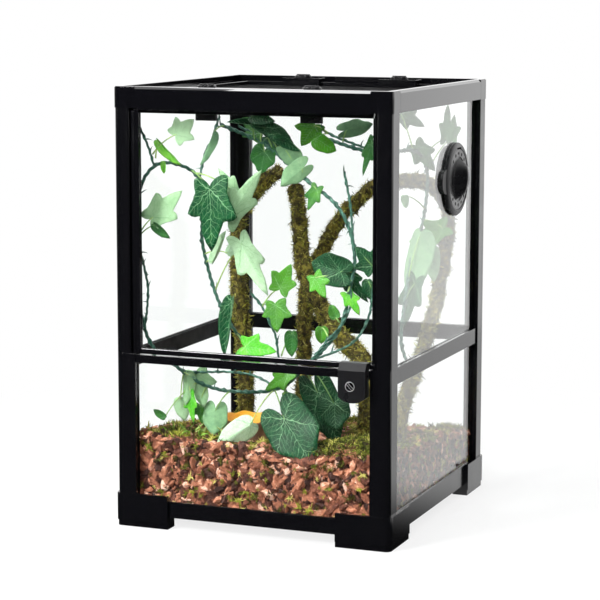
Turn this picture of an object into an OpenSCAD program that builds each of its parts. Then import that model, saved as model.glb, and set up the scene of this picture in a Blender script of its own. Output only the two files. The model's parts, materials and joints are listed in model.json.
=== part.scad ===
// Reptile terrarium: a knock-down glass tank in black moulded corner posts and rails, with a
// keyed swing door, a lift-off screen lid held by four turn latches and a round feeding port
// with a bayonet plug. It is furnished with bark, a dish, three mossy branches and ivy.
// Millimetres, +Z up, front towards -Y. Origin: centre of the overall box, at the floor.

/* [Tank] */
// Width over the corner posts
tank_w = 300; // [280:5:420]
// Depth over the corner posts
tank_d = 316; // [300:5:460]
// Height of the rim above the floor
tank_h = 457; // [440:5:600]
// Height of the seam between lower and upper posts
seam_z = 182.5; // [170:0.5:200]
// Thickness of every glass pane
glass_t = 4; // [3:0.5:5]
// How far the panes lie behind the post faces
glass_recess = 5; // [4:0.5:6]

/* [Posts] */
// Width of a post's face
post_w = 21.5; // [20:0.5:26]
// Radius of a post's outer corner
post_r = 5; // [2:0.5:7]
// Wall behind the glass groove of a post
inner_lip = 2; // [1.5:0.5:3]
// Width of the upper front posts' faces beside the door
door_post_w = 16.5; // [15.5:0.5:17.5]
// Radius on the post edges beside the door
door_post_edge_r = 2; // [1:0.5:2.5]

/* [Feet] */
// Height of a foot
foot_h = 35; // [30:1:45]
// Length of a foot's legs from the corner
foot_leg = 59.5; // [45:0.5:80]
// How far the feet stand out from the posts
foot_proud = 2; // [1:0.5:4]
// Height of the drafted band round the bottom of a foot
foot_band_h = 6; // [3:1:8]
// Draft of that band
foot_band_in = 1; // [0.5:0.1:1.5]

/* [Rails] */
// Height of the bottom rails above the floor
bottom_z = 12; // [8:0.5:16]
// Height of the front bottom rail
front_rail_h = 17; // [16:0.5:22]
// Height of the side and back bottom rails
side_rail_h = 22; // [17:0.5:23]
// How far the rails lie behind the post faces
rail_recess = 2; // [1:0.5:2.5]
// Height of the side and back middle rails
mid_rail_h = 17; // [16:0.5:22]
// Height of the sill under the door
sill_h = 8.5; // [8:0.5:10]
// Depth of the sill from front to back
sill_d = 16; // [15:0.5:20]
// Depth of the glass grooves in the rails
groove_h = 6; // [5:0.5:6.5]
// Width of the ledge that carries the bottom pane
ledge_w = 9; // [7:0.5:14]

/* [Top frame] */
// Height of the top rails
top_rail_h = 21.7; // [20:0.1:26]
// How far the top frame stands out from the posts
top_proud = 0.5; // [0.1:0.1:1]
// Wall of the top frame above the lid's ledge
rim_t = 8; // [6:0.5:9]
// Depth of the top rails, with the lid's ledge
top_rail_d = 18; // [17:0.5:19]
// Bevel along the top outer edge of the rails
rim_bevel = 2.5; // [1:0.5:3]
// Length of a top corner block's legs
block_leg = 23; // [22.5:0.5:30]
// Depth of the lid's seat below the rim
lid_seat = 14; // [13:0.5:15]
// How far the door stop hangs below the front rail
stop_h = 5.3; // [4:0.1:6]

/* [Door] */
// Thickness of the door's hinge nose
hinge_nose_d = 7.8; // [6.5:0.1:8]
// Thickness of the profiles clipped on the door glass
door_profile_t = 6.4; // [5.6:0.1:6.8]
// Width of the hinge profile beyond its pin
hinge_profile_w = 6.2; // [5.5:0.1:8]
// Width of the closing edge's profile
edge_profile_w = 3.4; // [3:0.1:6]
// Height of the bottom profile
bottom_profile_h = 5.5; // [5:0.5:8]
// Running gap round the door
door_gap = 0.6; // [0.5:0.1:1]
// Radius of the hinge pins
pin_r = 1.5; // [1.2:0.1:1.8]
// Radial clearance of the turning pins
pin_play = 0.05; // [0.03:0.01:0.08]

/* [Lock] */
// Distance of the key cylinder from the tank's middle
lock_x = 111.5; // [60:0.5:111.5]
// Width of the lock housing
lock_w = 29; // [26:0.5:31]
// Height of the lock housing
lock_h = 40; // [38:0.5:44]
// How far the lock housing stands out from the posts
lock_proud = 11; // [9:0.5:14]
// Radius of the key cylinder
cylinder_r = 5.2; // [4.5:0.1:5.5]
// Length of the cam that catches the sill
cam_len = 11; // [10.5:0.1:11.5]
// Thickness of the cam
cam_t = 1.4; // [1.2:0.1:1.5]

/* [Lid] */
// Width of the lid's frame bars
lid_bar_w = 18; // [16:0.5:24]
// Thickness of the lid's frame bars
lid_bar_h = 8; // [7:0.5:9]
// Gap between the lid and the rim
lid_gap = 0.6; // [0.4:0.1:1]
// Openings of the screen along each side
mesh_cells = 12; // [8:1:16]
// Thickness of the screen
mesh_t = 1; // [0.8:0.1:1.5]
// Width of the screen's bars
mesh_bar = 2.4; // [1.5:0.1:4]

/* [Lid latches] */
// Distance of the latches from the tank's middle
latch_x = 57; // [50:1:90]
// Distance of the latch pins from the post faces
latch_in = 25; // [24.5:0.5:26]
// Length of the wing that turns under the top rail
wing_len = 24; // [22:0.5:26]
// Width of the wing
wing_w = 7; // [6:0.5:8]
// Height of the wing
wing_h = 12; // [8:0.5:14]
// Length of the latch knob
knob_len = 20; // [16:0.5:24]
// Width of the latch knob
knob_w = 12; // [10:0.5:14]

/* [Feeding port] */
// Distance of the port from the tank's middle, towards the back
port_y = 60; // [20:1:75]
// Port's centre below the underside of the top frame
port_drop = 81; // [60:1:140]
// Width of the port's ring outside its sleeve
ring_w = 3.8; // [3:0.1:6]
// Height of the ring above the glass
ring_h = 5; // [4:0.5:7]
// Diameter of the port's plug
plug_d = 64; // [58:1:64]
// Wall of the ring's sleeve through the glass
sleeve_t = 2.9; // [2.6:0.1:3.2]
// Length of the sleeve inside the tank
sleeve_in = 9; // [8.5:0.5:12]
// Thickness of the plug's face
plug_t = 4; // [3:0.5:4.5]
// Length of the plug's fin grip
grip_len = 46; // [38:1:50]
// Width of the grip's pointed foot
grip_w = 22; // [16:1:28]
// How far the grip stands out from the plug
grip_h = 11.5; // [8:0.5:14]
// Radius of the plug's vent holes
vent_r = 1.8; // [1.2:0.1:2.2]
// Radial and axial play of the plug in its ring
port_play = 0.3; // [0.2:0.05:0.4]

/* [Furnishing] */
// Height of the bark bed at the front
bark_front = 92; // [80:1:110]
// Height of the bark bed at the back
bark_back = 62; // [55:1:80]
// Diameter of the food dish
dish_d = 66; // [50:1:80]
// Height of the food dish
dish_h = 24; // [18:1:32]
// Radius of the thickest branch
branch_r = 9.6; // [7:0.1:11]
// Radius of the ivy stems
stem_r = 1.7; // [1.2:0.1:2.2]
// Thickness of an ivy leaf
leaf_t = 0.8; // [0.6:0.1:1.2]

/* [Hidden] */
$fn = 48;

plastic = [0.05, 0.05, 0.06];
clear = [0.80, 0.90, 0.88, 0.30];
steel = [0.62, 0.63, 0.65];
moss = [0.33, 0.30, 0.12];
leaf_green = [0.10, 0.38, 0.18];

// Fits
play = 0.2;                       // slack of a pane in its groove
seat = 0.3;                       // gap of a loose piece on its seat
eps = 1;                          // how far a cut runs past a face

// Planes measured inwards from the post faces
groove_out = glass_recess - play;
groove_w = glass_t + 2 * play;
groove_in = groove_out + groove_w;
leg_t = groove_in + inner_lip;
pane_inset = leg_t - play;        // where a pane starts, from the tank's outer corner
groove_start = pane_inset - play;

// Levels
front_top = bottom_z + front_rail_h;
side_top = bottom_z + side_rail_h;
ledge_z = bottom_z + front_rail_h / 2;
floor_z = ledge_z + glass_t;      // top of the bottom pane
mid_z = seam_z - mid_rail_h;
sill_top = seam_z - 0.8;
sill_z = sill_top - sill_h;
top_z = tank_h - top_rail_h;      // underside of the top frame
pane_top = top_z + groove_h;
lid_z = tank_h - lid_seat;

// Door
pin_v = glass_recess + 0.5;       // hinge line behind the post faces
door_glass_v = pin_v - glass_t / 2;
pin_u = door_post_w + door_gap + hinge_nose_d / 2;
door_z = seam_z + 0.2;
door_top = top_z - 2.6;
stop_v = pin_v + hinge_nose_d / 2 + 0.4;
stop_t = 2.7;
edge_u = door_post_w + door_gap;
cap_z = seam_z - 4;               // underside of the cap that carries the lower hinge pin
pin_reach = 3.6;
pin_in = 10;

// Lock
lock_top = door_z + bottom_profile_h + 2;
lock_z = lock_top - lock_h;
lock_bore_z = lock_z + 16.8;
lock_left = lock_x - 13;
lock_back = 0.5;                  // gap between the housing and the sill's face
cam_v = glass_recess - 0.5 - cam_t;
cam_w = 8;
key_face = 0.6;                   // how far the key cylinder stands out of its housing

// Port
plug_r = plug_d / 2;
bore_r = plug_r + port_play;
sleeve_r = bore_r + sleeve_t;
hole_r = sleeve_r + 0.4;
ring_r = sleeve_r + ring_w;
port_z = top_z - port_drop;
glass_out = tank_w / 2 - glass_recess;
glass_in = glass_out - glass_t;
plug_face = glass_out + ring_h - 0.5;
lug_h = 3;
tab_r = 13;
tab_reach = 11.5;                 // how far the finger tab stands out of the ring
vent_turn = 22;                   // angle between two vent holes
grip_slant = 7.5;                 // how much the grip's sides lean in over its height
grip_end = 3;                     // height of the grip at its two ends
face_dish = 1.2;                  // depth of the dished face round the grip
lug_x = glass_in - 5;

// Overall box, which sets the origin
front_y = tank_d / 2 + lock_proud + key_face;
back_y = tank_d / 2 + foot_proud;
left_x = tank_w / 2 + foot_proud;
right_x = plug_face + grip_h;
shift = [(left_x - right_x) / 2, (front_y - back_y) / 2, 0];

// ---- Placing ----

module flip(axis, on) {
    if (on) mirror(axis) children();
    else children();
}

// A corner of the tank: drawn at the origin with +X and +Y running inwards
module corner(side, end) {
    translate(shift + [side * tank_w / 2, end * tank_d / 2, 0])
        flip([1, 0, 0], side > 0)
            flip([0, 1, 0], end > 0)
                children();
}

// A wall of the tank: X runs along it from its middle, +Y runs inwards from the post faces
module wall(turn) {
    depth = (turn == 0 || turn == 180) ? tank_d : tank_w;
    translate(shift) rotate(turn) translate([0, -depth / 2, 0]) children();
}

function wall_len(turn) = (turn == 0 || turn == 180) ? tank_w : tank_d;

// Extrudes a [depth, height] outline along a wall
module along(len) {
    translate([-len / 2, 0, 0]) rotate([90, 0, 90]) linear_extrude(len) children();
}

module box(low, high) {
    translate(low) cube(high - low);
}

// ---- Corner sections ----

module round_corner(size, r) {
    difference() {
        square(size);
        difference() {
            translate([-eps, -eps]) square(r + eps);
            translate([r, r]) circle(r);
        }
    }
}

// L-shaped post with a groove for the side pane and, unless it is beside the door, the other pane
module post_section(second_groove) {
    difference() {
        round_corner(post_w, post_r);
        translate([leg_t, leg_t]) square(post_w);
        translate([groove_out, groove_start]) square([groove_w, post_w]);
        if (second_groove) translate([groove_start, groove_out]) square([post_w, groove_w]);
    }
}

// Beside the door the front leg steps back to a stop, and its edge is rounded
module door_post_section() {
    edge_r = door_post_edge_r;
    difference() {
        union() {
            post_section(false);
            translate([leg_t, leg_t - eps]) square([post_w - leg_t, stop_v + stop_t - leg_t + eps]);
        }
        translate([door_post_w, -eps]) square([post_w, stop_v + eps]);
        difference() {
            translate([door_post_w - edge_r, -eps]) square(edge_r + eps);
            translate([door_post_w - edge_r, edge_r]) circle(edge_r);
        }
    }
}

// ---- Feet ----

module foot_plan(out) {
    translate([-out, -out]) difference() {
        round_corner(foot_leg - foot_proud + out, post_r + out);
        translate([out + rail_recess, out + rail_recess]) square(foot_leg * 2);
    }
}

module foot(side, end) {
    shelf = leg_t + ledge_w / 2;
    core_z = floor_z - groove_h;
    color(plastic) corner(side, end) union() {
        translate([0, 0, foot_band_h]) linear_extrude(foot_h - foot_band_h) foot_plan(foot_proud);
        linear_extrude(foot_band_h) foot_plan(foot_proud - foot_band_in);
        // block under the post, with the lower ends of the glass grooves
        translate([0, 0, core_z]) linear_extrude(foot_h - core_z) post_section(true);
        linear_extrude(core_z) difference() {
            round_corner(post_w, post_r);
            translate([leg_t, leg_t]) square(post_w);
        }
        // shelf under the bottom rails
        linear_extrude(bottom_z) difference() {
            round_corner(foot_leg - foot_proud, post_r);
            translate([shelf, shelf]) square(foot_leg);
        }
    }
}

// ---- Rails ----

// Bottom rail: front lip, glass groove, inner lip and the ledge for the bottom pane
module bottom_rail(turn, top) {
    color(plastic) wall(turn) along(wall_len(turn) - 2 * post_w) difference() {
        union() {
            translate([rail_recess, bottom_z]) square([groove_out - rail_recess, top - bottom_z]);
            translate([rail_recess, bottom_z])
                square([leg_t - rail_recess, floor_z - play - bottom_z]);
            translate([rail_recess, bottom_z])
                square([leg_t + ledge_w - rail_recess, ledge_z - bottom_z]);
        }
        translate([groove_out, floor_z - groove_h]) square([groove_w, top]);
    }
}

// Middle rail: holds the lower pane from above and the upper pane from below
module mid_rail(turn) {
    color(plastic) wall(turn) along(wall_len(turn) - 2 * post_w) difference() {
        translate([rail_recess - 0.5, mid_z]) square([leg_t - rail_recess + 0.5, mid_rail_h]);
        translate([groove_out, mid_z - eps]) square([groove_w, groove_h + eps]);
        translate([groove_out, seam_z - groove_h]) square([groove_w, groove_h + eps]);
    }
}

// Sill under the door, with a pocket behind its front lip for the lock's cam
module door_sill() {
    pocket_top = lock_bore_z + cam_len + 1;
    color(plastic) wall(0) difference() {
        along(tank_w - 2 * post_w) difference() {
            translate([rail_recess - 1, sill_z]) square([sill_d, sill_h]);
            translate([groove_out, sill_z - eps]) square([groove_w, sill_h - 3 + eps]);
        }
        box([lock_x - cam_len - 1.5, cam_v - 0.3, sill_z - eps],
            [lock_x + cam_w / 2 + 1, groove_out + eps, pocket_top]);
        // half of the lower hinge bore
        translate([-tank_w / 2 + pin_u, pin_v, cap_z - eps])
            cylinder(r = pin_r + pin_play, h = seam_z - cap_z + 2 * eps);
    }
}

// Top rail: a wall up to the rim and a ledge that carries the lid
module top_rail(turn) {
    front = turn == 0;
    color(plastic) wall(turn) along(wall_len(turn) + 2 * top_proud - 2 * block_leg) difference() {
        union() {
            translate([-top_proud, top_z]) square([rim_t, top_rail_h]);
            translate([-top_proud, top_z]) square([top_rail_d + top_proud, lid_z - top_z]);
            if (front) translate([0.5, top_z - 1.8]) square([2, 2.8]);
            if (front) translate([stop_v, top_z - stop_h]) square([stop_t, stop_h + eps]);
        }
        translate([-top_proud, tank_h]) rotate(45)
            square(rim_bevel * sqrt(2), center = true);
        if (!front) translate([groove_out, top_z - eps]) square([groove_w, groove_h + eps]);
    }
}

// Top corner block, which joins two rails on top of a post
module top_corner(side, end) {
    leg = block_leg;
    front = end < 0;
    color(plastic) corner(side, end) translate([-top_proud, -top_proud, 0]) difference() {
        translate([0, 0, top_z]) linear_extrude(top_rail_h) round_corner(leg, post_r);
        // lid seat
        box([rim_t, rim_t, lid_z], [leg + eps, leg + eps, tank_h + eps]);
        // open corner inside the ledge
        box([top_rail_d + top_proud, top_rail_d + top_proud, top_z - eps],
            [leg + eps, leg + eps, lid_z + eps]);
        // glass grooves
        translate([top_proud, top_proud, 0]) {
            box([groove_out, groove_start, top_z - eps], [groove_in, leg + eps, pane_top]);
            if (!front) box([groove_start, groove_out, top_z - eps], [leg + eps, groove_in, pane_top]);
            if (front && side < 0) translate([pin_u, pin_v, top_z - eps])
                cylinder(r = pin_r + pin_play, h = pin_reach + 2 + eps);
        }
        translate([-eps, -eps, tank_h - 0.8]) linear_extrude(2) difference() {
            square(leg * 3);
            translate([eps + 0.8, eps + 0.8]) round_corner(leg * 3, post_r - 0.8);
        }
    }
}

// ---- Posts ----

module lower_post(side, end) {
    front = end < 0;
    color(plastic) corner(side, end) difference() {
        union() {
            translate([0, 0, foot_h]) linear_extrude(seam_z - foot_h) post_section(true);
            // cap over the front pane's groove
            if (front) box([leg_t, rail_recess, cap_z], [post_w, leg_t, seam_z]);
        }
        if (front && side < 0) translate([pin_u, pin_v, cap_z - eps])
            cylinder(r = pin_r + pin_play, h = seam_z - cap_z + 2 * eps);
    }
}

module upper_post(side, end) {
    color(plastic) corner(side, end) translate([0, 0, seam_z]) linear_extrude(top_z - seam_z) {
        if (end < 0) door_post_section();
        else post_section(true);
    }
}

// ---- Glass ----

module pane(turn, low, high) {
    len = wall_len(turn) - 2 * pane_inset;
    color(clear) wall(turn)
        box([-len / 2, glass_recess, low], [len / 2, glass_recess + glass_t, high]);
}

module bottom_glass() {
    x = tank_w / 2 - leg_t - play;
    y = tank_d / 2 - leg_t - play;
    color(clear) translate(shift) box([-x, -y, ledge_z], [x, y, floor_z]);
}

module port_place() {
    translate(shift + [0, port_y, port_z]) rotate([0, 90, 0]) children();
}

module upper_glass_right() {
    color(clear) difference() {
        pane(90, seam_z - groove_h + play, pane_top - play);
        port_place() translate([0, 0, glass_in - eps]) cylinder(r = hole_r, h = glass_t + 2 * eps);
    }
}

// ---- Door ----

module door_glass() {
    color(clear) wall(0)
        box([-tank_w / 2 + pin_u + pin_r + 1.2, door_glass_v, door_z + 1.7],
            [tank_w / 2 - edge_u - 1.4, door_glass_v + glass_t, door_top]);
}

// Clip on the hinge edge: a round nose on the pin line and two jaws on the glass
module door_hinge_profile() {
    jaw = door_profile_t / 2;
    color(plastic) wall(0) translate([-tank_w / 2 + pin_u, pin_v, door_z]) difference() {
        linear_extrude(door_top - door_z) difference() {
            union() {
                circle(d = hinge_nose_d);
                translate([0, -jaw]) square([hinge_profile_w, 2 * jaw]);
            }
            translate([pin_r + 1.2, -glass_t / 2]) square([hinge_profile_w, glass_t]);
        }
        translate([0, 0, -eps]) cylinder(r = pin_r, h = pin_in + eps);
        translate([0, 0, door_top - door_z - pin_in]) cylinder(r = pin_r, h = pin_in + eps);
    }
}

module hinge_pins() {
    color(steel) wall(0) translate([-tank_w / 2 + pin_u, pin_v, 0]) {
        translate([0, 0, door_z - pin_reach]) cylinder(r = pin_r, h = pin_reach + pin_in);
        translate([0, 0, door_top - pin_in]) cylinder(r = pin_r, h = pin_in + top_z - door_top + pin_reach);
    }
}

// Clip on the closing edge, with a rounded outer side
module door_edge_profile() {
    jaw = door_profile_t / 2;
    low = door_z + bottom_profile_h;
    color(plastic) wall(0) translate([tank_w / 2 - edge_u, pin_v, low])
        linear_extrude(door_top - 2 - low) difference() {
            intersection() {
                translate([-edge_profile_w, -jaw]) square([edge_profile_w, 2 * jaw]);
                translate([-jaw, 0]) circle(r = jaw * 1.06);
            }
            translate([-edge_profile_w - eps, -glass_t / 2]) square([edge_profile_w - 1.4 + eps, glass_t]);
        }
}

// Channel along the foot of the door glass
module door_bottom_profile() {
    jaw = door_profile_t / 2;
    left = -tank_w / 2 + pin_u + hinge_profile_w;
    right = tank_w / 2 - edge_u;
    color(plastic) wall(0) translate([(left + right) / 2, 0, 0]) along(right - left) difference() {
        translate([pin_v - jaw, door_z]) square([2 * jaw, bottom_profile_h]);
        translate([pin_v - glass_t / 2, door_z + 1.7]) square([glass_t, bottom_profile_h]);
    }
}

// ---- Lock ----

// Housing: side outline with a sloped top, cut to a front outline with a round chin
module lock_housing() {
    front = -lock_proud;
    slope_z = lock_top - 7.6;
    chin_r = lock_w * 0.72;
    hook_v = pin_v - door_profile_t / 2;
    color(plastic) wall(0) difference() {
        intersection() {
            translate([lock_left, 0, 0]) rotate([90, 0, 90]) linear_extrude(lock_w)
                polygon([[front, lock_z], [front, slope_z], [front + 5, lock_top], [hook_v, lock_top],
                         [hook_v, door_z + 0.1], [rail_recess - 1 - lock_back, door_z + 0.1],
                         [rail_recess - 1 - lock_back, lock_z]]);
            translate([lock_left + lock_w / 2, hook_v + eps, 0]) rotate([90, 0, 0])
                linear_extrude(lock_proud + hook_v + 2 * eps) union() {
                    translate([-lock_w / 2, lock_z + 6]) square([lock_w, lock_h]);
                    intersection() {
                        translate([0, lock_z + chin_r]) circle(chin_r);
                        translate([-lock_w / 2, lock_z]) square([lock_w, 7]);
                    }
                }
        }
        translate([lock_x, hook_v + eps, lock_bore_z]) rotate([90, 0, 0])
            cylinder(r = cylinder_r + pin_play, h = lock_proud + hook_v + 3 * eps);
    }
}

module lock_cylinder() {
    color(steel) wall(0) translate([lock_x, cam_v, lock_bore_z]) rotate([90, 0, 0]) difference() {
        cylinder(r = cylinder_r, h = cam_v + lock_proud + key_face);
        translate([0, 0, cam_v + lock_proud + key_face - 1.6]) rotate(-35)
            translate([-3.4, -0.7, 0]) cube([6.8, 1.4, 3]);
    }
}

// Cam: lies sideways when unlocked and stands up behind the sill's lip when locked
module lock_cam() {
    color(steel) wall(0) translate([lock_x, cam_v + cam_t, lock_bore_z]) rotate([90, 0, 0])
        linear_extrude(cam_t) union() {
            circle(r = cam_w / 2 + 0.6);
            translate([-cam_len + cam_w / 2, 0]) circle(r = cam_w / 2);
            translate([-cam_len + cam_w / 2, -cam_w / 2]) square([cam_len - cam_w / 2, cam_w]);
        }
}

// ---- Lid ----

lid_x = tank_w / 2 + top_proud - rim_t - lid_gap;
lid_y = tank_d / 2 + top_proud - rim_t - lid_gap;
mesh_z = lid_z + 3;
block_top = lid_z + lid_bar_h + 4.5;
block_w = 44;
block_in = latch_in + 8;

module latch_spot(side, end) {
    translate(shift + [side * latch_x, end * (tank_d / 2 - latch_in), 0]) children();
}

// Lid frame: four bars round the screen, with a raised block at each latch
module lid_frame() {
    inner_x = lid_x - lid_bar_w;
    inner_y = lid_y - lid_bar_w;
    grip = 5;
    color(plastic) difference() {
        union() {
            translate(shift) difference() {
                box([-lid_x, -lid_y, lid_z], [lid_x, lid_y, lid_z + lid_bar_h]);
                box([-inner_x, -inner_y, lid_z - eps], [inner_x, inner_y, block_top + eps]);
            }
            for (side = [-1, 1], end = [-1, 1])
                translate(shift + [side * latch_x, 0, 0]) flip([0, 1, 0], end > 0)
                    box([-block_w / 2, -lid_y + 5, lid_z], [block_w / 2, -tank_d / 2 + block_in, block_top]);
        }
        translate(shift) box([-inner_x - grip, -inner_y - grip, mesh_z],
                             [inner_x + grip, inner_y + grip, mesh_z + mesh_t]);
        for (side = [-1, 1], end = [-1, 1]) latch_spot(side, end)
            translate([0, 0, lid_z - eps]) cylinder(r = 3 + pin_play, h = block_top - lid_z + 2 * eps);
    }
}

// Screen: a punched sheet in the groove of the frame, notched round the latch pins
module lid_screen() {
    x = lid_x - lid_bar_w + 4.8;
    y = lid_y - lid_bar_w + 4.8;
    cell_x = (2 * x - 12) / mesh_cells;
    cell_y = (2 * y - 12) / mesh_cells;
    color(steel) translate(shift + [0, 0, mesh_z]) linear_extrude(mesh_t) difference() {
        square([2 * x, 2 * y], center = true);
        for (i = [0 : mesh_cells - 1], j = [0 : mesh_cells - 1])
            translate([-x + 6 + (i + 0.5) * cell_x, -y + 6 + (j + 0.5) * cell_y])
                square([cell_x - mesh_bar, cell_y - mesh_bar], center = true);
        for (side = [-1, 1], end = [-1, 1])
            translate([side * latch_x, end * (tank_d / 2 - latch_in)]) circle(r = 3.6);
    }
}

// Latch: an oval knob on top, a pin through the lid and a wing that turns under the top rail
module lid_latch(side, end) {
    wing_top = top_z - 0.4;
    color(plastic) latch_spot(side, end) {
        translate([0, 0, wing_top - wing_h]) linear_extrude(wing_h) capsule(wing_len, wing_w);
        translate([0, 0, wing_top - eps]) cylinder(r = 3, h = block_top - wing_top + 2 * eps);
        translate([0, 0, block_top]) linear_extrude(2.2) capsule(knob_len, knob_w);
        translate([0, 0, block_top + 2.2]) linear_extrude(0.8) capsule(knob_len - 2, knob_w - 2);
        translate([0, 0, block_top + 3]) linear_extrude(1.2) capsule(knob_len - 4, 3);
    }
}

module capsule(len, w) {
    square([len - w, w], center = true);
    for (s = [-1, 1]) translate([s * (len - w) / 2, 0]) circle(d = w);
}

// ---- Feeding port ----

// Ring: a bevelled flange outside the glass and a sleeve with a groove for the plug's lugs
module port_ring() {
    low = glass_in - sleeve_in;
    flange = glass_out;
    rim = glass_out + ring_h;
    groove_r = bore_r + 1.5;
    color(plastic) port_place() difference() {
        union() {
            rotate_extrude($fn = 96) polygon([
                [bore_r, low], [sleeve_r, low], [sleeve_r, flange], [ring_r, flange],
                [ring_r, rim - 2.4], [ring_r - 1, rim - 1.2], [ring_r - 5, rim],
                [bore_r, rim], [bore_r, lug_x + lug_h + port_play],
                [groove_r, lug_x + lug_h + port_play], [groove_r, lug_x - port_play],
                [bore_r, lug_x - port_play]]);
            // finger tab towards the front
            translate([0, 0, flange]) linear_extrude(3) difference() {
                finger_tab();
                circle(r = ring_r - 2);
            }
        }
        // entry slots for the lugs
        for (a = [0 : 120 : 240]) rotate(a + 60) translate([bore_r - 2, -7, lug_x])
            cube([3.5, 14, rim]);
    }
}

module finger_tab() {
    translate([0, tab_r - ring_r - tab_reach]) circle(r = tab_r);
}

// Nut: clamps the ring from inside the glass
module port_nut() {
    color(plastic) port_place() difference() {
        translate([0, 0, glass_in - 4]) cylinder(r = ring_r, h = 4, $fn = 96);
        translate([0, 0, glass_in - 4 - eps]) cylinder(r = sleeve_r + 0.1, h = 6, $fn = 96);
        for (a = [0 : 30 : 330]) rotate(a) translate([ring_r + 1, 0, glass_in - 5])
            cylinder(r = 2.5, h = 6);
    }
}

// Plug: a vented face with a fin grip, a skirt and three bayonet lugs
module port_plug() {
    back = glass_in - 6.5;
    low_face = plug_face - plug_t;
    color(plastic) port_place() {
        difference() {
            union() {
                translate([0, 0, low_face]) cylinder(r = plug_r, h = plug_t, $fn = 96);
                translate([0, 0, back]) difference() {
                    cylinder(r = plug_r - 0.2, h = low_face - back + eps, $fn = 96);
                    translate([0, 0, -eps])
                        cylinder(r = plug_r - 2.4, h = low_face - back + 3 * eps, $fn = 96);
                }
                for (a = [0 : 120 : 240]) rotate(a) intersection() {
                    translate([0, 0, lug_x]) cylinder(r = plug_r + 1.4, h = lug_h, $fn = 96);
                    translate([plug_r - 1.5, -6, lug_x - eps]) cube([4, 12, lug_h + 2 * eps]);
                }
            }
            for (end = [0, 180], step = [-2 : 2])
                rotate(end + step * vent_turn) translate([plug_r - 4.6, 0, low_face - eps])
                    cylinder(r = vent_r, h = plug_t + 2 * eps);
            translate([0, 0, plug_face - face_dish]) cylinder(r = plug_r - 8, h = plug_t, $fn = 96);
        }
        translate([0, 0, plug_face - face_dish - seat]) grip();
    }
}

// Fin grip on a pointed foot: where two cones and an arched top overlap, turned a little from upright
module grip() {
    h = grip_h + face_dish + seat;
    foot_r = (grip_len * grip_len + grip_w * grip_w) / (4 * grip_w);
    rise = grip_h - grip_end;
    arch_r = (grip_len * grip_len / 4 + rise * rise) / (2 * rise);
    out = foot_r - grip_w / 2;
    rotate(-14) intersection() {
        translate([0, out, 0]) cylinder(r1 = foot_r, r2 = foot_r - grip_slant, h = h, $fn = 96);
        translate([0, -out, 0]) cylinder(r1 = foot_r, r2 = foot_r - grip_slant, h = h, $fn = 96);
        translate([0, 0, h - arch_r]) rotate([90, 0, 0])
            cylinder(r = arch_r, h = 2 * grip_w, center = true, $fn = 96);
    }
}

// ---- Furnishing ----

// The places below are written for a tank of this size, and move with the tank's real size
drawn_for = [300, 316, 457];
room = [tank_w / drawn_for[0], tank_d / drawn_for[1], tank_h / drawn_for[2]];
function fit(p) = [p[0] * room[0], p[1] * room[1], p[2] * room[2]];

// A smooth curve through points, as [x, y, z] for t from 0 to the last index
function spline(p, t) =
    let (n = len(p) - 1, i = min(floor(t), n - 1), f = t - i,
         a = p[max(i - 1, 0)], b = p[i], c = p[i + 1], d = p[min(i + 2, n)])
    0.5 * ((2 * b) + (c - a) * f + (2 * a - 5 * b + 4 * c - d) * f * f
           + (3 * b - a - 3 * c + d) * f * f * f);

function unit(v) = v / norm(v);

// Rings of a swept tube; the side vector is carried along so that the tube doesn't twist
function carry(side, dir) = unit(side - (side * dir) * dir);
function tube_dirs(c) = [for (i = [0 : len(c) - 1])
    unit(c[min(i + 1, len(c) - 1)] - c[max(i - 1, 0)])];
function tube_sides(d, i = 0, side = [0.31, 0.95, 0.07]) =
    i == len(d) ? [] : let (s = carry(side, d[i])) concat([s], tube_sides(d, i + 1, s));

module tube(points, radii, steps, sides) {
    n = steps;
    last = len(points) - 1;
    c = [for (i = [0 : n]) spline(points, last * i / n)];
    r = [for (i = [0 : n]) let (t = (len(radii) - 1) * i / n, k = min(floor(t), len(radii) - 2))
        radii[k] + (radii[k + 1] - radii[k]) * (t - k)];
    d = tube_dirs(c);
    s = tube_sides(d);
    ring = [for (i = [0 : n], k = [0 : sides - 1]) let (a = 360 * k / sides)
        c[i] + r[i] * (cos(a) * s[i] + sin(a) * cross(d[i], s[i]))];
    polyhedron(
        points = concat(ring, [c[0], c[n]]),
        faces = concat(
            [for (i = [0 : n - 1], k = [0 : sides - 1]) let (m = (k + 1) % sides)
                [i * sides + k, (i + 1) * sides + k, (i + 1) * sides + m]],
            [for (i = [0 : n - 1], k = [0 : sides - 1]) let (m = (k + 1) % sides)
                [i * sides + k, (i + 1) * sides + m, i * sides + m]],
            [for (k = [0 : sides - 1]) [(n + 1) * sides, k, (k + 1) % sides]],
            [for (k = [0 : sides - 1]) [(n + 1) * sides + 1, n * sides + (k + 1) % sides, n * sides + k]]));
}

// Branch routes, chosen by hand, from the buried foot to the tip
branch_left_route = [for (p = [[-94, 60, 36], [-96, 60, 92], [-98, 60, 157], [-106, 62, 229], [-104, 60, 300],
                     [-78, 50, 338], [-48, 42, 358]]) fit(p)];
branch_middle_route = [for (p = [[82, -30, 36], [80, -30, 112], [73, -20, 163], [33, 0, 192], [2, 20, 226],
                       [-20, 40, 257], [-30, 56, 297], [-42, 76, 330]]) fit(p)];
branch_right_route = [for (p = [[-40, 92, 36], [-39, 90, 138], [-37, 90, 193], [-34, 92, 229], [-16, 96, 272],
                      [6, 100, 308], [38, 104, 337], [70, 106, 346], [100, 108, 342], [118, 112, 318],
                      [120, 96, 262], [122, 52, 207], [122, 8, 168], [119, -20, 140], [116, -40, 100],
                      [114, -46, 40]]) fit(p)];

module branch(route, radii, steps, extra = 0) {
    translate(shift) tube(route, [for (r = radii) r + extra], steps, 9);
}

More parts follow.
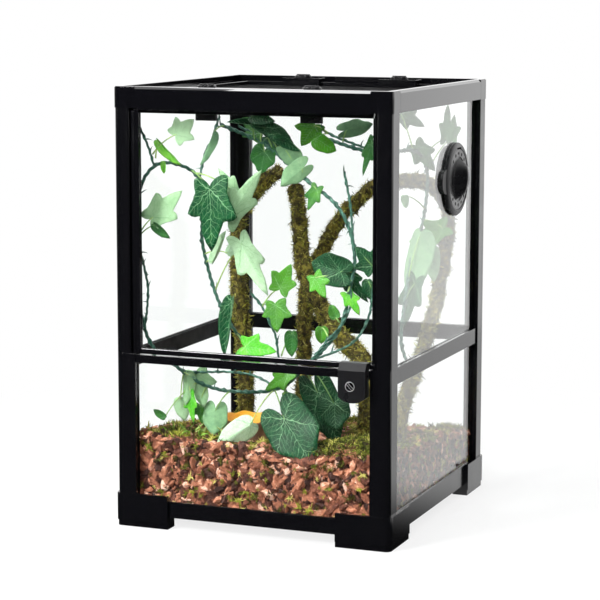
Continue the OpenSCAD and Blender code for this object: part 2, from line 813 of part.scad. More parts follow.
module branch_left(extra = 0) {
    color(moss) branch(branch_left_route,
        [1.06, 1, 0.94, 1.02, 0.9, 1.04, 0.86] * branch_r, 26, extra);
}

module branch_middle(extra = 0) {
    color(moss) branch(branch_middle_route,
        [1.04, 1.1, 1.06, 1.12, 1, 0.98, 0.96, 0.9] * branch_r, 28, extra);
}

module branch_right(extra = 0) {
    color(moss) branch(branch_right_route,
        [0.94, 0.96, 0.88, 0.84, 0.82, 0.86, 0.8, 0.84, 0.86, 0.92] * branch_r, 44, extra);
}

// Heaps of moss on the bark: [x, y, radius, height]
heaps = [[98, -126, 26, 12], [122, -110, 20, 9], [70, -130, 14, 5], [108, -88, 22, 9], [-80, -124, 13, 4],
         [-96, 62, 20, 6], [-40, 92, 18, 6], [84, -30, 22, 7], [20, 110, 16, 5], [120, 108, 18, 6],
         [130, 20, 14, 5], [60, 40, 14, 4]];

// Height of the bark at a place in the tank, first without the heaps and the chips
function bed_height(x, y) =
    let (f = (y + tank_d / 2) / tank_d)
    bark_front + (bark_back - bark_front) * pow(f, 1.3)
    + 7 * exp(-(pow(x / room[0] + 130, 2) + pow(y / room[1] + 130, 2)) / 3600)
    + 1.6 * sin(x * 2.3 + y * 1.1) + 1.4 * cos(y * 2.7 - x * 1.3);
function bark_height(x, y) =
    bed_height(x, y) + 1.8 * sin(x * 31 + y * 9) * sin(y * 27 - x * 11) + 0.8
    + max([for (h = heaps)
        h[3] * exp(-(pow(x / room[0] - h[0], 2) + pow(y / room[1] - h[1], 2)) / pow(h[2], 2))]);

dish_x = -40 * room[0];
dish_y = -62 * room[1];
dish_z = bed_height(dish_x, dish_y) - 6;

module bark_bed() {
    n = 28;
    x = tank_w / 2 - groove_in - 0.1;
    y = tank_d / 2 - groove_in - 0.1;
    top = [for (j = [0 : n], i = [0 : n])
        let (px = -x + 2 * x * i / n, py = -y + 2 * y * j / n) [px, py, bark_height(px, py)]];
    rim = concat([for (i = [0 : n - 1]) i], [for (j = [0 : n - 1]) j * (n + 1) + n],
                 [for (i = [n : -1 : 1]) n * (n + 1) + i], [for (j = [n : -1 : 1]) j * (n + 1)]);
    base = (n + 1) * (n + 1);
    m = len(rim);
    color([0.42, 0.20, 0.13]) difference() {
        translate(shift) polyhedron(
            points = concat(top, [for (k = rim) [top[k][0], top[k][1], floor_z]], [[0, 0, floor_z]]),
            faces = concat(
                [for (j = [0 : n - 1], i = [0 : n - 1]) let (a = j * (n + 1) + i) [a, a + n + 1, a + n + 2]],
                [for (j = [0 : n - 1], i = [0 : n - 1]) let (a = j * (n + 1) + i) [a, a + n + 2, a + 1]],
                [for (k = [0 : m - 1]) [rim[k], rim[(k + 1) % m], base + (k + 1) % m]],
                [for (k = [0 : m - 1]) [rim[k], base + (k + 1) % m, base + k]],
                [for (k = [0 : m - 1]) [base + m, base + k, base + (k + 1) % m]]));
        // room for the posts' inner lips
        for (side = [-1, 1], end = [-1, 1]) corner(side, end) {
            box([0, 0, 0], [post_w + seat, leg_t + seat, tank_h]);
            box([0, 0, 0], [leg_t + seat, post_w + seat, tank_h]);
        }
        // sockets of the branches and the dish
        branch_left(seat);
        branch_middle(seat);
        branch_right(seat);
        translate(shift + [dish_x, dish_y, dish_z]) cylinder(d = dish_d + 2 * seat, h = 2 * dish_h);
    }
}

// Rock-shaped food dish with a hollow top
module food_dish() {
    r = dish_d / 2;
    color([0.93, 0.55, 0.16]) translate(shift + [dish_x, dish_y, dish_z]) rotate_extrude($fn = 64)
        polygon([[0, 0], [r - 1, 0], [r, 5], [r - 2, dish_h - 5], [r - 1, dish_h - 1], [r - 3, dish_h],
                 [r - 7, dish_h - 1], [r - 12, dish_h - 8], [r - 18, dish_h - 11], [0, dish_h - 12]]);
}

// Ivy stems: a long loop behind the door, rooted in the bark, and one behind the right pane that leans
// on the right branch
main_stem = [for (p = [
    [-69, -70, 415], [-18, -72, 395], [26, -76, 363], [67, -80, 333], [85, -84, 291], [82, -90, 251],
    [72, -94, 210], [38, -98, 171], [10, -106, 147], [-37, -108, 141], [-70, -114, 147], [-98, -122, 166],
    [-122, -130, 188], [-132, -135, 225], [-134, -137, 275], [-133, -137, 329], [-130, -132, 358],
    [-117, -122, 376], [-98, -106, 374], [-83, -94, 358], [-82, -90, 316], [-84, -84, 289],
    [-71, -78, 235], [-50, -76, 198], [-23, -74, 174], [-2, -72, 158], [6, -73, 124]]) fit(p)];
root = [main_stem[26][0] - 6, main_stem[26][1] - 1];
lean = spline(branch_right_route, 12.4) + (0.85 * branch_r + stem_r + seat) * unit([-1, -0.3, 0.2]);
long_stem = concat(main_stem, [[root[0], root[1], bark_height(root[0], root[1]) + 2 * seat]]);
side_stem = concat([for (p = [
    [41, -62, 404], [83, -60, 392], [104, -46, 388], [109, 0, 388], [107, 48, 380], [104, 84, 352],
    [104, 70, 306], [106, 34, 282], [108, 4, 240], [106, -6, 190]]) fit(p)], [lean]);

// Side shoots: free at one end or both, and grown from the stems at the others
function shoot(points, start, end) = concat(start, [for (p = points) fit(p)], end);
function on_long(t) = [spline(long_stem, t)];
function on_side(t) = [spline(side_stem, t)];
stem_routes = [
    long_stem, side_stem,
    shoot([[-135, -128, 415], [-127, -124, 394]], [], on_long(16.8)),
    shoot([[-73, -64, 423], [-74, -72, 411], [-75, -80, 398], [-79, -88, 386]], [], on_long(19)),
    shoot([[-50, -66, 413], [-26, -68, 403], [0, -71, 384]], [], on_long(2.4)),
    shoot([[40, -60, 412], [58, -57, 403]], [], on_side(1.8)),
    shoot([[75, -88, 372], [79, -88, 353], [82, -88, 337], [84, -88, 315]], [], on_long(4.2)),
    shoot([[-29, -84, 241], [-18, -82, 228], [-10, -78, 209], [-5, -74, 193]], [], on_long(25)),
    shoot([[84, -92, 236], [76, -96, 216], [62, -98, 200]], on_long(4.9), on_long(7)),
    shoot([[-70, -112, 160], [-42, -107, 161], [-16, -104, 158]], on_long(10.7), on_long(8)),
    shoot([[-131, -132, 278], [-126, -130, 250], [-127, -130, 226], [-129, -131, 205]],
          on_long(14.4), on_long(12.2)),
    shoot([[103, -78, 251], [99, -80, 222], [84, -88, 196]], [], on_long(6.8))
];

// Outlines of half a leaf: how far it reaches, as a share of its length, at each angle from the midrib
star = [[0, 1], [14, 0.74], [27, 0.5], [50, 0.68], [70, 0.4], [92, 0.34], [122, 0.42], [152, 0.17], [180, 0.06]];
broad = [[0, 1], [28, 0.8], [56, 0.8], [84, 0.63], [112, 0.6], [140, 0.5], [166, 0.22], [180, 0.07]];
narrow = [[0, 1], [26, 0.6], [60, 0.34], [110, 0.22], [180, 0.06]];

// Leaves: [stem, place along it, where the blade starts, its tip, width, outline, roll about the midrib]
leaves = [
    [2, 1.6, [-100, -121, 407], [-73, -118, 412], 35, star, 10],
    [2, 2, [-116, -122, 399], [-94, -116, 374], 11, narrow, 35],
    [0, 17.2, [-112, -120, 378], [-111, -120, 366], 6, narrow, 0],
    [0, 0.2, [-64, -102, 407], [-75, -104, 374], 11, narrow, 40],
    [10, 0.2, [-119, -130, 322], [-89, -124, 350], 37, star, -12],
    [10, 0.2, [-117, -131, 314], [-101, -128, 300], 10, narrow, 20],
    [0, 18.4, [-63, -112, 350], [-59, -118, 287], 56, star, 5],
    [0, 18.7, [-47, -96, 322], [-14, -92, 373], 35, star, 15],
    [0, 18.7, [-44, -94, 347], [-62, -92, 371], 21, star, -20],
    [0, 0.9, [-25, -66, 407], [-49, -60, 422], 35, star, 10],
    [0, 1, [-19, -64, 402], [10, -58, 389], 25, star, -20],
    [0, 1, [-18, -74, 388], [-21, -78, 366], 27, star, 12],
    [5, 0.5, [34, -66, 416], [21, -70, 395], 35, star, -8],
    [5, 0.5, [36, -66, 403], [57, -64, 390], 19, narrow, 22],
    [5, 1.2, [68, -62, 409], [95, -60, 422], 16, narrow, 35],
    [1, 1.4, [97, -66, 400], [87, -72, 367], 18, star, 40],
    [0, 1.8, [9, -80, 391], [26, -74, 369], 23, star, 20],
    [0, 2, [27, -82, 371], [2, -84, 357], 25, star, -15],
    [0, 2.2, [42, -80, 352], [34, -84, 330], 17, star, 20],
    [7, 1, [7, -92, 250], [20, -94, 276], 31, star, -8],
    [7, 1.6, [3, -96, 232], [8, -104, 205], 34, star, 6],
    [0, 21.9, [-42, -90, 274], [-8, -94, 241], 31, star, -18],
    [0, 21.4, [-69, -92, 274], [-52, -96, 307], 10, narrow, 25],
    [0, 21.2, [-39, -92, 294], [-24, -92, 281], 17, narrow, -25],
    [0, 4.6, [69, -92, 268], [43, -98, 277], 35, star, -12],
    [0, 4.8, [47, -96, 263], [61, -102, 243], 25, star, 10],
    [0, 4.6, [75, -82, 270], [96, -78, 236], 29, star, 30],
    [0, 4.9, [81, -92, 247], [96, -96, 228], 20, star, -20],
    [0, 4, [103, -80, 276], [87, -86, 296], 35, star, 20],
    [11, 0, [98, -78, 260], [100, -76, 239], 14, narrow, 30],
    [8, 1.4, [69, -94, 223], [63, -94, 236], 12, narrow, 0],
    [0, 22.6, [-51, -84, 231], [-55, -92, 174], 17, narrow, 35],
    [0, 23, [-32, -92, 186], [4, -100, 185], 35, star, -10],
    [7, 4, [12, -72, 200], [12, -74, 175], 16, narrow, 20],
    [8, 2.2, [44, -70, 207], [44, -70, 190], 15, narrow, 0],
    [0, 7.6, [21, -106, 163], [-4, -112, 144], 23, star, 14],
    [0, 7.6, [15, -104, 139], [28, -100, 138], 10, narrow, 0],
    [0, 8.1, [19, -118, 126], [46, -126, 105], 52, broad, 6],
    [0, 7.1, [33, -88, 152], [58, -84, 134], 33, broad, -12],
    [0, 7, [64, -86, 132], [69, -92, 108], 37, broad, 14],
    [0, 9.2, [-47, -112, 120], [-68, -112, 126], 31, broad, 18],
    [0, 8.1, [-14, -118, 116], [-54, -122, 105], 23, star, -8],
    [0, 10.5, [-79, -114, 157], [-70, -110, 123], 38, star, 16],
    [0, 10.7, [-85, -122, 158], [-87, -122, 125], 15, narrow, 20],
    [0, 10.7, [-95, -118, 130], [-91, -116, 107], 17, narrow, 0],
    [0, 10.5, [-83, -120, 136], [-78, -122, 107], 17, star, 24],
    [0, 9.9, [-76, -112, 124], [-72, -114, 105], 19, star, -14],
    [0, 10.2, [-109, -128, 112], [-121, -130, 120], 8, narrow, 0],
    [1, 3.4, [93, 26, 424], [117, 34, 411], 25, star, 0],
    [1, 4.2, [129, 70, 397], [129, 76, 434], 18, star, 0],
    [1, 4.9, [128, 92, 396], [130, 96, 421], 18, star, 0],
    [1, 4.2, [103, 50, 388], [122, 56, 362], 28, star, 0],
    [1, 6, [126, 72, 300], [91, 60, 284], 30, star, 0],
    [1, 6.6, [118, 60, 277], [118, 66, 242], 19, narrow, 0],
    [1, 7.8, [117, 20, 296], [106, 10, 231], 32, narrow, 30],
    [1, 8.2, [114, 14, 246], [104, 4, 197], 28, star, 0],
    [1, 5.7, [93, 40, 336], [95, 40, 323], 9, narrow, 0],
    [1, 2.2, [96, -44, 404], [105, -40, 419], 19, star, 0]
];
leaf_front = [0.36, -0.92, 0.15];  // the leaves turn their faces to the door and a little to the right
stalk_r = 0.7;

function across(a, b) = let (c = cross(a, b)) c / norm(c);

module leaf_outline(half, len, w) {
    reach = max([for (q = half) q[1] * sin(q[0])]);
    side = [for (q = half) [len * q[1] * cos(q[0]), w / 2 * q[1] * sin(q[0]) / reach]];
    n = len(side);
    polygon(concat(side, [for (i = [n - 2 : -1 : 1]) [side[i][0], -side[i][1]]]));
}

module leaf(l) {
    stem = spline(stem_routes[l[0]], l[1]);
    start = fit(l[2]);
    tip = fit(l[3]);
    x = unit(tip - start);
    y = across(x, leaf_front);
    z = cross(x, y);
    translate(start) multmatrix([[x[0], y[0], z[0], 0], [x[1], y[1], z[1], 0], [x[2], y[2], z[2], 0]])
        rotate([l[6], 0, 0]) translate([0, 0, -leaf_t / 2]) linear_extrude(leaf_t)
            leaf_outline(l[5], norm(tip - start), l[4] * room[0]);
    bow = (stem + start) / 2 + [0, 0, 0.12 * norm(start - stem)];
    tube([stem, bow, start + 1.5 * x], [1, 1] * stalk_r, 3, 4);
}

module ivy_garland() {
    color(leaf_green) translate(shift) {
        for (i = [0 : len(stem_routes) - 1])
            tube(stem_routes[i], [1, 0.9, 1] * stem_r * (i < 2 ? 1 : 0.8),
                4 * (len(stem_routes[i]) - 1), i < 2 ? 6 : 5);
        for (l = leaves) leaf(l);
    }
}

foot(-1, -1);  // foot_front_left
foot(1, -1);  // foot_front_right
foot(-1, 1);  // foot_back_left
foot(1, 1);  // foot_back_right
bottom_rail(0, front_top);  // bottom_rail_front
bottom_rail(180, side_top);  // bottom_rail_back
bottom_rail(-90, side_top);  // bottom_rail_left
bottom_rail(90, side_top);  // bottom_rail_right
bottom_glass();
lower_post(-1, -1);  // lower_post_front_left
lower_post(1, -1);  // lower_post_front_right
lower_post(-1, 1);  // lower_post_back_left
lower_post(1, 1);  // lower_post_back_right
door_sill();
mid_rail(180);  // mid_rail_back
mid_rail(-90);  // mid_rail_left
mid_rail(90);  // mid_rail_right
upper_post(-1, -1);  // upper_post_front_left
upper_post(1, -1);  // upper_post_front_right
upper_post(-1, 1);  // upper_post_back_left
upper_post(1, 1);  // upper_post_back_right
top_rail(0);  // top_rail_front
top_rail(180);  // top_rail_back
top_rail(-90);  // top_rail_left
top_rail(90);  // top_rail_right
top_corner(-1, -1);  // top_corner_front_left
top_corner(1, -1);  // top_corner_front_right
top_corner(-1, 1);  // top_corner_back_left
top_corner(1, 1);  // top_corner_back_right
pane(0, floor_z - groove_h + play, sill_top - 3 - play);  // lower_glass_front
pane(180, floor_z - groove_h + play, mid_z + groove_h - play);  // lower_glass_back
pane(-90, floor_z - groove_h + play, mid_z + groove_h - play);  // lower_glass_left
pane(90, floor_z - groove_h + play, mid_z + groove_h - play);  // lower_glass_right
pane(180, seam_z - groove_h + play, pane_top - play);  // upper_glass_back
pane(-90, seam_z - groove_h + play, pane_top - play);  // upper_glass_left
upper_glass_right();
door_glass();
door_hinge_profile();
door_edge_profile();
door_bottom_profile();
hinge_pins();
lock_housing();
lock_cylinder();
lock_cam();
lid_frame();
lid_screen();
lid_latch(-1, -1);  // lid_latch_front_left
lid_latch(1, -1);  // lid_latch_front_right
lid_latch(-1, 1);  // lid_latch_back_left
lid_latch(1, 1);  // lid_latch_back_right
port_ring();
port_nut();
port_plug();
bark_bed();
food_dish();
branch_left();
branch_middle();
branch_right();
ivy_garland();
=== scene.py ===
# %% [markdown]
# # Reptile terrarium
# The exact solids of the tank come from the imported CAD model: frame, panes, door, lock, lid and port.
# They stay where they are and get finishes here. Bark, moss, branches, ivy and the dish are soft or
# grown things, so their plain solids are replaced by detailed ones that fill the same space.

import json
import math

import bmesh
import bpy
import numpy as np
from mathutils import Matrix, Vector, noise

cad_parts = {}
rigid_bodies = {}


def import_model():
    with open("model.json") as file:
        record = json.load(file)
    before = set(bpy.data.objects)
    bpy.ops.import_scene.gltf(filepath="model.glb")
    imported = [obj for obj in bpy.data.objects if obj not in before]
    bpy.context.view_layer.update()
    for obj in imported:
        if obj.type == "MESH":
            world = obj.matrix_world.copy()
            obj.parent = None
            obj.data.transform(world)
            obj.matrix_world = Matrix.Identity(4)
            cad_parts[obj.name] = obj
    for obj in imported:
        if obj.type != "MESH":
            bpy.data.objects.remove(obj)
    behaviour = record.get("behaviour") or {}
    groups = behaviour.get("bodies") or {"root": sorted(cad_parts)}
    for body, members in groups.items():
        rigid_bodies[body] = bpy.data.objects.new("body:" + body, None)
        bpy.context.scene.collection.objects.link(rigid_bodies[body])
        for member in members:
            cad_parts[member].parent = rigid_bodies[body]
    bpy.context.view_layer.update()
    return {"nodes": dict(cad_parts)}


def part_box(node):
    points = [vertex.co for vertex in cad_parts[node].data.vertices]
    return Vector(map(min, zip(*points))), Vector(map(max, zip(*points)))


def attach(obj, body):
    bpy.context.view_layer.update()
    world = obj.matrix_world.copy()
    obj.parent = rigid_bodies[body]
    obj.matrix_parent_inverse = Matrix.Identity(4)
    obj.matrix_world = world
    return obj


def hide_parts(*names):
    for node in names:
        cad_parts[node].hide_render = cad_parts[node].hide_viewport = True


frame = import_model()
nodes = frame["nodes"]
scene = bpy.context.scene

# %% [markdown]
# The camera stands where the photographer's did: a little to the right and above, with a long lens.
# Its three axes are worked out from azimuth, elevation and a trace of roll, and make up its matrix.

# %% Camera
azimuth, elevation, roll = math.radians(21.5518), math.radians(8.3854), math.radians(0.0697)
sight = Vector((math.sin(azimuth) * math.cos(elevation), -math.cos(azimuth) * math.cos(elevation),
                math.sin(elevation)))
right = Vector((math.cos(azimuth), math.sin(azimuth), 0))
up = sight.cross(right)
right, up = (right * math.cos(roll) + up * math.sin(roll), up * math.cos(roll) - right * math.sin(roll))
camera = bpy.data.objects.new("camera", bpy.data.cameras.new("camera"))
scene.collection.objects.link(camera)
camera.matrix_world = Matrix((right, up, sight)).transposed().to_4x4()
camera.location = (0.81799, -2.09845, 0.557)
camera.data.sensor_width, camera.data.lens = 36, 127.54
scene.camera = camera
print("camera looks from", [round(v, 3) for v in camera.location])

# %% [markdown]
# Node trees are long to write out. A `Graph` adds a node by the end of its type's name, sets its
# properties, and fills its inputs with plain values or with links from other nodes. A method named after
# a math operation, such as `graph.multiply(a, b)`, adds that math node.

# %% Helpers: a node tree, a node group, a mesh kept as an object
class Graph:
    def __init__(self, tree):
        self.tree = tree

    def __call__(self, kind, inputs=(), **settings):
        words = (self.tree.bl_idname.removesuffix("Tree"), "ShaderNode", "FunctionNode", "")
        node = self.tree.nodes.new(next(word + kind for word in words if hasattr(bpy.types, word + kind)))
        for name, value in settings.items():
            setattr(node, name, value)
        return self.fill(node, dict(inputs))

    def __getattr__(self, operation):
        return lambda *values, **settings: self(
            "Math", enumerate(values), operation=operation.upper(), **settings).outputs[0]

    def fill(self, node, inputs):
        for name, value in inputs.items():
            if isinstance(value, bpy.types.Node):
                value = value.outputs[0]
            if isinstance(value, bpy.types.NodeSocket):
                self.tree.links.new(value, node.inputs[name])
            else:
                node.inputs[name].default_value = value
        return node

    def vector(self, operation, *values):
        return self("VectorMath", enumerate(values), operation=operation)

    def mix(self, share, first, second):
        return self("Mix", {0: share, 2: first, 3: second}, data_type="FLOAT")

    def random(self, low, high, seed):
        return self("RandomValue", {2: low, 3: high, "Seed": seed}, data_type="FLOAT").outputs[1]

    def remap(self, value, start, end, low=0.0, high=1.0, curve="LINEAR"):
        limits = {"From Min": start, "From Max": end, "To Min": low, "To Max": high}
        return self("MapRange", {"Value": value, **limits}, interpolation_type=curve)


def group(family, name, outputs, **inputs):
    """A new node group: its graph and the sockets that its inputs come from."""
    tree = bpy.data.node_groups.new(name, family + "NodeTree")
    for way, sockets in (("INPUT", inputs), ("OUTPUT", outputs)):
        for label, kind in sockets.items():
            tree.interface.new_socket(label, in_out=way, socket_type="NodeSocket" + kind)
    graph = Graph(tree)
    return graph, graph("NodeGroupInput").outputs


def emptied(owner):
    """The graph of a material or world, without the nodes it starts with."""
    owner.use_nodes = True
    owner.node_tree.nodes.clear()
    return Graph(owner.node_tree)


def keep(name, build, *finishes):
    """Turn a finished bmesh into an object in the scene."""
    mesh = bpy.data.meshes.new(name)
    build.to_mesh(mesh)
    build.free()
    for finish in finishes:
        mesh.materials.append(finish)
    piece = bpy.data.objects.new(name, mesh)
    scene.collection.objects.link(piece)
    return piece


# %% [markdown]
# The studio is white behind the tank and dark behind the photographer. Shiny black plastic and glass
# show mostly what they mirror, so the front faces stay black and the side faces, which mirror the white
# behind, go grey. The world gives each kind of ray its own part of that: soft light for surfaces, plain
# white for the camera and through glass, and the white half-room for reflections.

# %% World
soft_level, through_level, front_level, zenith_level, bright = 0.55, 1.16, 0.006, 1.9, (1, 1, 1, 1)


def seen_through(graph, path):
    """1 for a camera ray that has only passed through glass on its way."""
    bounces = graph.add(path["Glossy Depth"], path["Diffuse Depth"])
    return graph.multiply(path["Is Transmission Ray"], graph.less_than(bounces, 0.5))


scene.world = bpy.data.worlds.new("studio")
graph = emptied(scene.world)
path = graph("LightPath").outputs
way = graph("SeparateXYZ", {0: graph("TexCoord").outputs["Generated"]}).outputs
behind = graph.remap(way["Y"], -0.25, 0.25, front_level, 1.0, "SMOOTHSTEP")
above = graph.remap(way["Z"], 0.0, 0.12, 1.0, zenith_level)
level = graph.mix(path["Is Camera Ray"], soft_level, 1.0)
level = graph.mix(path["Is Glossy Ray"], level, graph.multiply(behind, above))
level = graph.mix(seen_through(graph, path), level, through_level)
graph("OutputWorld", {"Surface": graph("Background", {"Color": bright, "Strength": level})})
scene.view_settings.view_transform = "Standard"
print("world: soft light", soft_level)


# %% [markdown]
# Four lamps: a wide one high at the front left that models leaves and bark, a weaker one at the front
# that fills the shadows of the frame, one over the lid that reaches in through the screen, and a glowing
# wall behind the tank. The wall is what the side pane and the rim mirror. No lamp is seen by the camera
# or through glass.

# %% Lamps
def panel(name, place, aim, width, height, power):
    data = bpy.data.lights.new(name, "AREA")
    data.shape, data.size, data.size_y, data.energy = "RECTANGLE", width, height, power
    lamp = bpy.data.objects.new(name, data)
    scene.collection.objects.link(lamp)
    lamp.location = place
    lamp.rotation_euler = (Vector(aim) - Vector(place)).to_track_quat("-Z", "Y").to_euler()
    lamp.visible_camera = lamp.visible_transmission = False
    return lamp


front_lamp = panel("front_lamp", (-0.9, -1.7, 1.5), (0, 0, 0.22), 0.5, 0.5, 56)
fill_lamp = panel("fill_lamp", (0.45, -2.1, 0.95), (0, 0, 0.25), 0.6, 0.6, 24)
top_lamp = panel("top_lamp", (-0.46, -0.2, 1.6), (0, 0, 0.2), 0.7, 0.5, 17)
glow_wall = panel("glow_wall", (0.9, 1.25, 0.5), (0.9, 0, 0.5), 0.9, 1.3, 2.2)
fill_lamp.visible_glossy = False
print("lamps:", front_lamp.name, fill_lamp.name, top_lamp.name, glow_wall.name)

# %% [markdown]
# The floor is pale and keeps the tank's soft shadow. Away from the tank it fades into plain white, so
# that no edge shows against the world. In reflections the part before the tank is dark like the room.

# %% Floor
paper = bpy.data.materials.new("white_paper")
floor_build = bmesh.new()
bmesh.ops.create_circle(floor_build, cap_ends=True, segments=96, radius=6)
floor = keep("floor", floor_build, paper)
floor.location.z = -0.0002
graph = emptied(paper)
path = graph("LightPath").outputs
spot = graph("TexCoord").outputs["Object"]
through = seen_through(graph, path)
fade = graph.remap(graph.vector("LENGTH", spot).outputs["Value"], 0.30, 0.75, 0.8, 1.0, "SMOOTHSTEP")
half_room = graph.remap(graph("SeparateXYZ", {0: spot}).outputs["Y"], -0.1, 0.2, 0.02, 1.0, "SMOOTHSTEP")
shade = graph("BsdfDiffuse", {"Color": (0.9, 0.9, 0.9, 1)})
strength = graph.remap(through, 0.0, 1.0, 1.0, through_level)
white = graph("Emission", {"Color": bright, "Strength": strength})
mirrored = graph("Emission", {"Color": bright, "Strength": half_room})
plain = graph.multiply(graph.maximum(path["Is Camera Ray"], through), fade)
seen = graph("MixShader", {0: plain, 1: shade, 2: white})
seen = graph("MixShader", {0: graph.greater_than(path["Is Glossy Ray"], through), 1: seen, 2: mirrored})
graph("OutputMaterial", {"Surface": seen})
print("floor laid")

# %% [markdown]
# ## Finishes of the frame
# Moulded plastic is never a perfect mirror: its gloss changes a little from place to place and its
# surface has a faint ripple. Both come from one shader group, which the frame, the latches and the port
# use at their own values.

# %% Shader group: moulded surface
moulded, given = group("Shader", "moulded_surface", {"Roughness": "Float", "Height": "Float"},
                       Scale="Float", Smooth="Float", Dull="Float")
spot = moulded("TexCoord").outputs["Object"]
cloud = moulded("TexNoise", {"Vector": spot, "Scale": given["Scale"], "Detail": 4.0})
fine = moulded("TexNoise", {"Vector": spot, "Scale": 900.0, "Detail": 2.0})
gloss = moulded.remap(cloud, 0.35, 0.7, given["Smooth"], given["Dull"])
moulded("NodeGroupOutput", {"Roughness": gloss, "Height": moulded.add(fine, cloud)})
print("group:", moulded.tree.name)


# %% Materials: black moulding, steel, glass
def principled(name, inputs):
    material = bpy.data.materials.new(name)
    material.use_nodes = True
    graph = Graph(material.node_tree)
    return material, graph, graph.fill(graph.tree.nodes["Principled BSDF"], inputs)


def moulding(name, color, smooth, dull, scale, bump, specular=0.5):
    material, graph, shader = principled(name, {"Base Color": (*color, 1), "Specular IOR Level": specular})
    finish = graph("Group", {"Scale": scale, "Smooth": smooth, "Dull": dull}, node_tree=moulded.tree)
    ripple = graph("Bump", {"Height": finish.outputs["Height"], "Strength": bump, "Distance": 0.0004})
    graph.fill(shader, {"Roughness": finish.outputs["Roughness"], "Normal": ripple})
    return material


def metal(name, color, metallic, smooth, dull):
    material, graph, shader = principled(name, {"Base Color": (*color, 1), "Metallic": metallic})
    finish = graph("Group", {"Scale": 300.0, "Smooth": smooth, "Dull": dull}, node_tree=moulded.tree)
    graph.fill(shader, {"Roughness": finish.outputs["Roughness"]})
    return material


def pane(name, ior):
    """Glass that lets light through to what stands behind it, so that it throws no dark shadow."""
    material, graph, shader = principled(name, {
        "Base Color": (0.985, 0.998, 0.992, 1), "Roughness": 0.0, "IOR": ior, "Transmission Weight": 1.0})
    clear = graph("BsdfTransparent", {"Color": (0.96, 0.98, 0.97, 1)})
    mixed = graph("MixShader", {0: graph("LightPath").outputs["Is Shadow Ray"], 1: shader, 2: clear})
    graph.fill(graph.tree.nodes["Material Output"], {"Surface": mixed})
    return material


black_gloss = moulding("black_gloss", (0.0020, 0.0020, 0.0027), 0.10, 0.22, 40, 0.05)
black_satin = moulding("black_satin", (0.005, 0.005, 0.0058), 0.22, 0.36, 60, 0.12)
black_top = moulding("black_top", (0.0020, 0.0020, 0.0027), 0.03, 0.08, 40, 0.0)
black_soft = moulding("black_soft", (0.006, 0.006, 0.0068), 0.26, 0.42, 60, 0.12, 0.22)
black_matt = moulding("black_matt", (0.004, 0.004, 0.0045), 0.5, 0.65, 60, 0.1, 0.12)
mesh_black = moulding("mesh_black", (0.012, 0.012, 0.013), 0.5, 0.7, 60, 0.0, 0.15)
steel = metal("plain_steel", (0.5, 0.5, 0.52), 1.0, 0.2, 0.4)
glass, faint_glass = pane("float_glass", 1.5), pane("float_glass_faint", 1.18)
print("materials:", black_gloss.name, black_satin.name, steel.name, glass.name)

# %% [markdown]
# The two panes at the left are seen at a low angle, where glass mirrors most, so theirs is a fainter
# glass. All pieces but the panes get edges rounded by less than half a millimetre, which catch a thin
# line of light as moulded edges do. The modifiers leave the meshes themselves as they were packed.

# %% Finishes of the CAD nodes
edge_radius, edge_steps, sharpest = 0.0004, 2, math.radians(50)
for name, piece in nodes.items():
    if "glass" in name:
        finish = faint_glass if name.endswith("left") else glass
    elif name == "mid_rail_left":
        finish = black_matt
    elif name in ("port_ring", "lock_housing"):
        finish = black_soft
    elif name == "lid_frame" or name.startswith("top_"):
        finish = black_top
    elif name in ("hinge_pins", "lock_cam"):
        finish = steel
    elif name in ("port_nut", "port_plug") or name.startswith("lid_latch"):
        finish = black_satin
    else:
        finish = black_gloss
    piece.data.materials.clear()
    piece.data.materials.append(finish)
    if finish not in (glass, faint_glass):
        piece.modifiers.new("weld", "WELD").merge_threshold = 0.00001
        soft = piece.modifiers.new("soft_edges", "BEVEL")
        soft.width, soft.segments = edge_radius, edge_steps
        soft.limit_method, soft.angle_limit = "ANGLE", sharpest
print("finished CAD nodes:", len(nodes))


# %% [markdown]
# ## The planted inside
# The lists below are places inside the tank in millimetres, as the CAD source has them: branches from
# the buried foot to the tip, ivy stems along their length. A smooth curve through the points gives the
# path that each tube follows.

# %% Paths of the branches and the stems
from_tank_middle = Vector((-0.0045, 0.0048, 0))
bed_half_x, bed_half_y, bed_floor = 0.1404, 0.1484, 0.0246


def spline(points, t):
    i = min(int(t), len(points) - 2)
    f = t - i
    a, b, c, d = (Vector(points[max(0, min(k, len(points) - 1))]) for k in (i - 1, i, i + 1, i + 2))
    cubic = 3 * b - a - 3 * c + d
    return 0.5 * (2 * b + (c - a) * f + (2 * a - 5 * b + 4 * c - d) * f ** 2 + cubic * f ** 3)


def in_tank(point):
    return Vector(point) * 0.001 + from_tank_middle


def route(points, step=0.2):
    count = round((len(points) - 1) / step)
    return [in_tank(spline(points, (len(points) - 1) * i / count)) for i in range(count + 1)]


branch_radius, skin_share = 0.0096, 0.95
branches = {
    "branch_left": ([
        (-94, 60, 36), (-96, 60, 92), (-98, 60, 157), (-106, 62, 229), (-104, 60, 300), (-78, 50, 338),
        (-48, 42, 358)],
        [1.06, 1, 0.94, 1.02, 0.9, 1.04, 0.86]),
    "branch_middle": ([
        (82, -30, 36), (80, -30, 112), (73, -20, 163), (33, 0, 192), (2, 20, 226), (-20, 40, 257),
        (-30, 56, 297), (-44, 78, 338)],
        [1.04, 1.1, 1.06, 1.12, 1, 0.98, 0.96, 0.9]),
    "branch_right": ([
        (-40, 92, 36), (-39, 90, 138), (-37, 90, 193), (-34, 92, 229), (-16, 96, 272), (6, 100, 308),
        (38, 104, 337), (70, 106, 346), (100, 108, 342), (118, 112, 318), (120, 96, 262), (122, 52, 207),
        (122, 8, 168), (119, -20, 140), (116, -40, 100), (114, -46, 40)],
        [0.94, 0.96, 0.88, 0.84, 0.82, 0.86, 0.8, 0.84, 0.86, 0.92]),
}
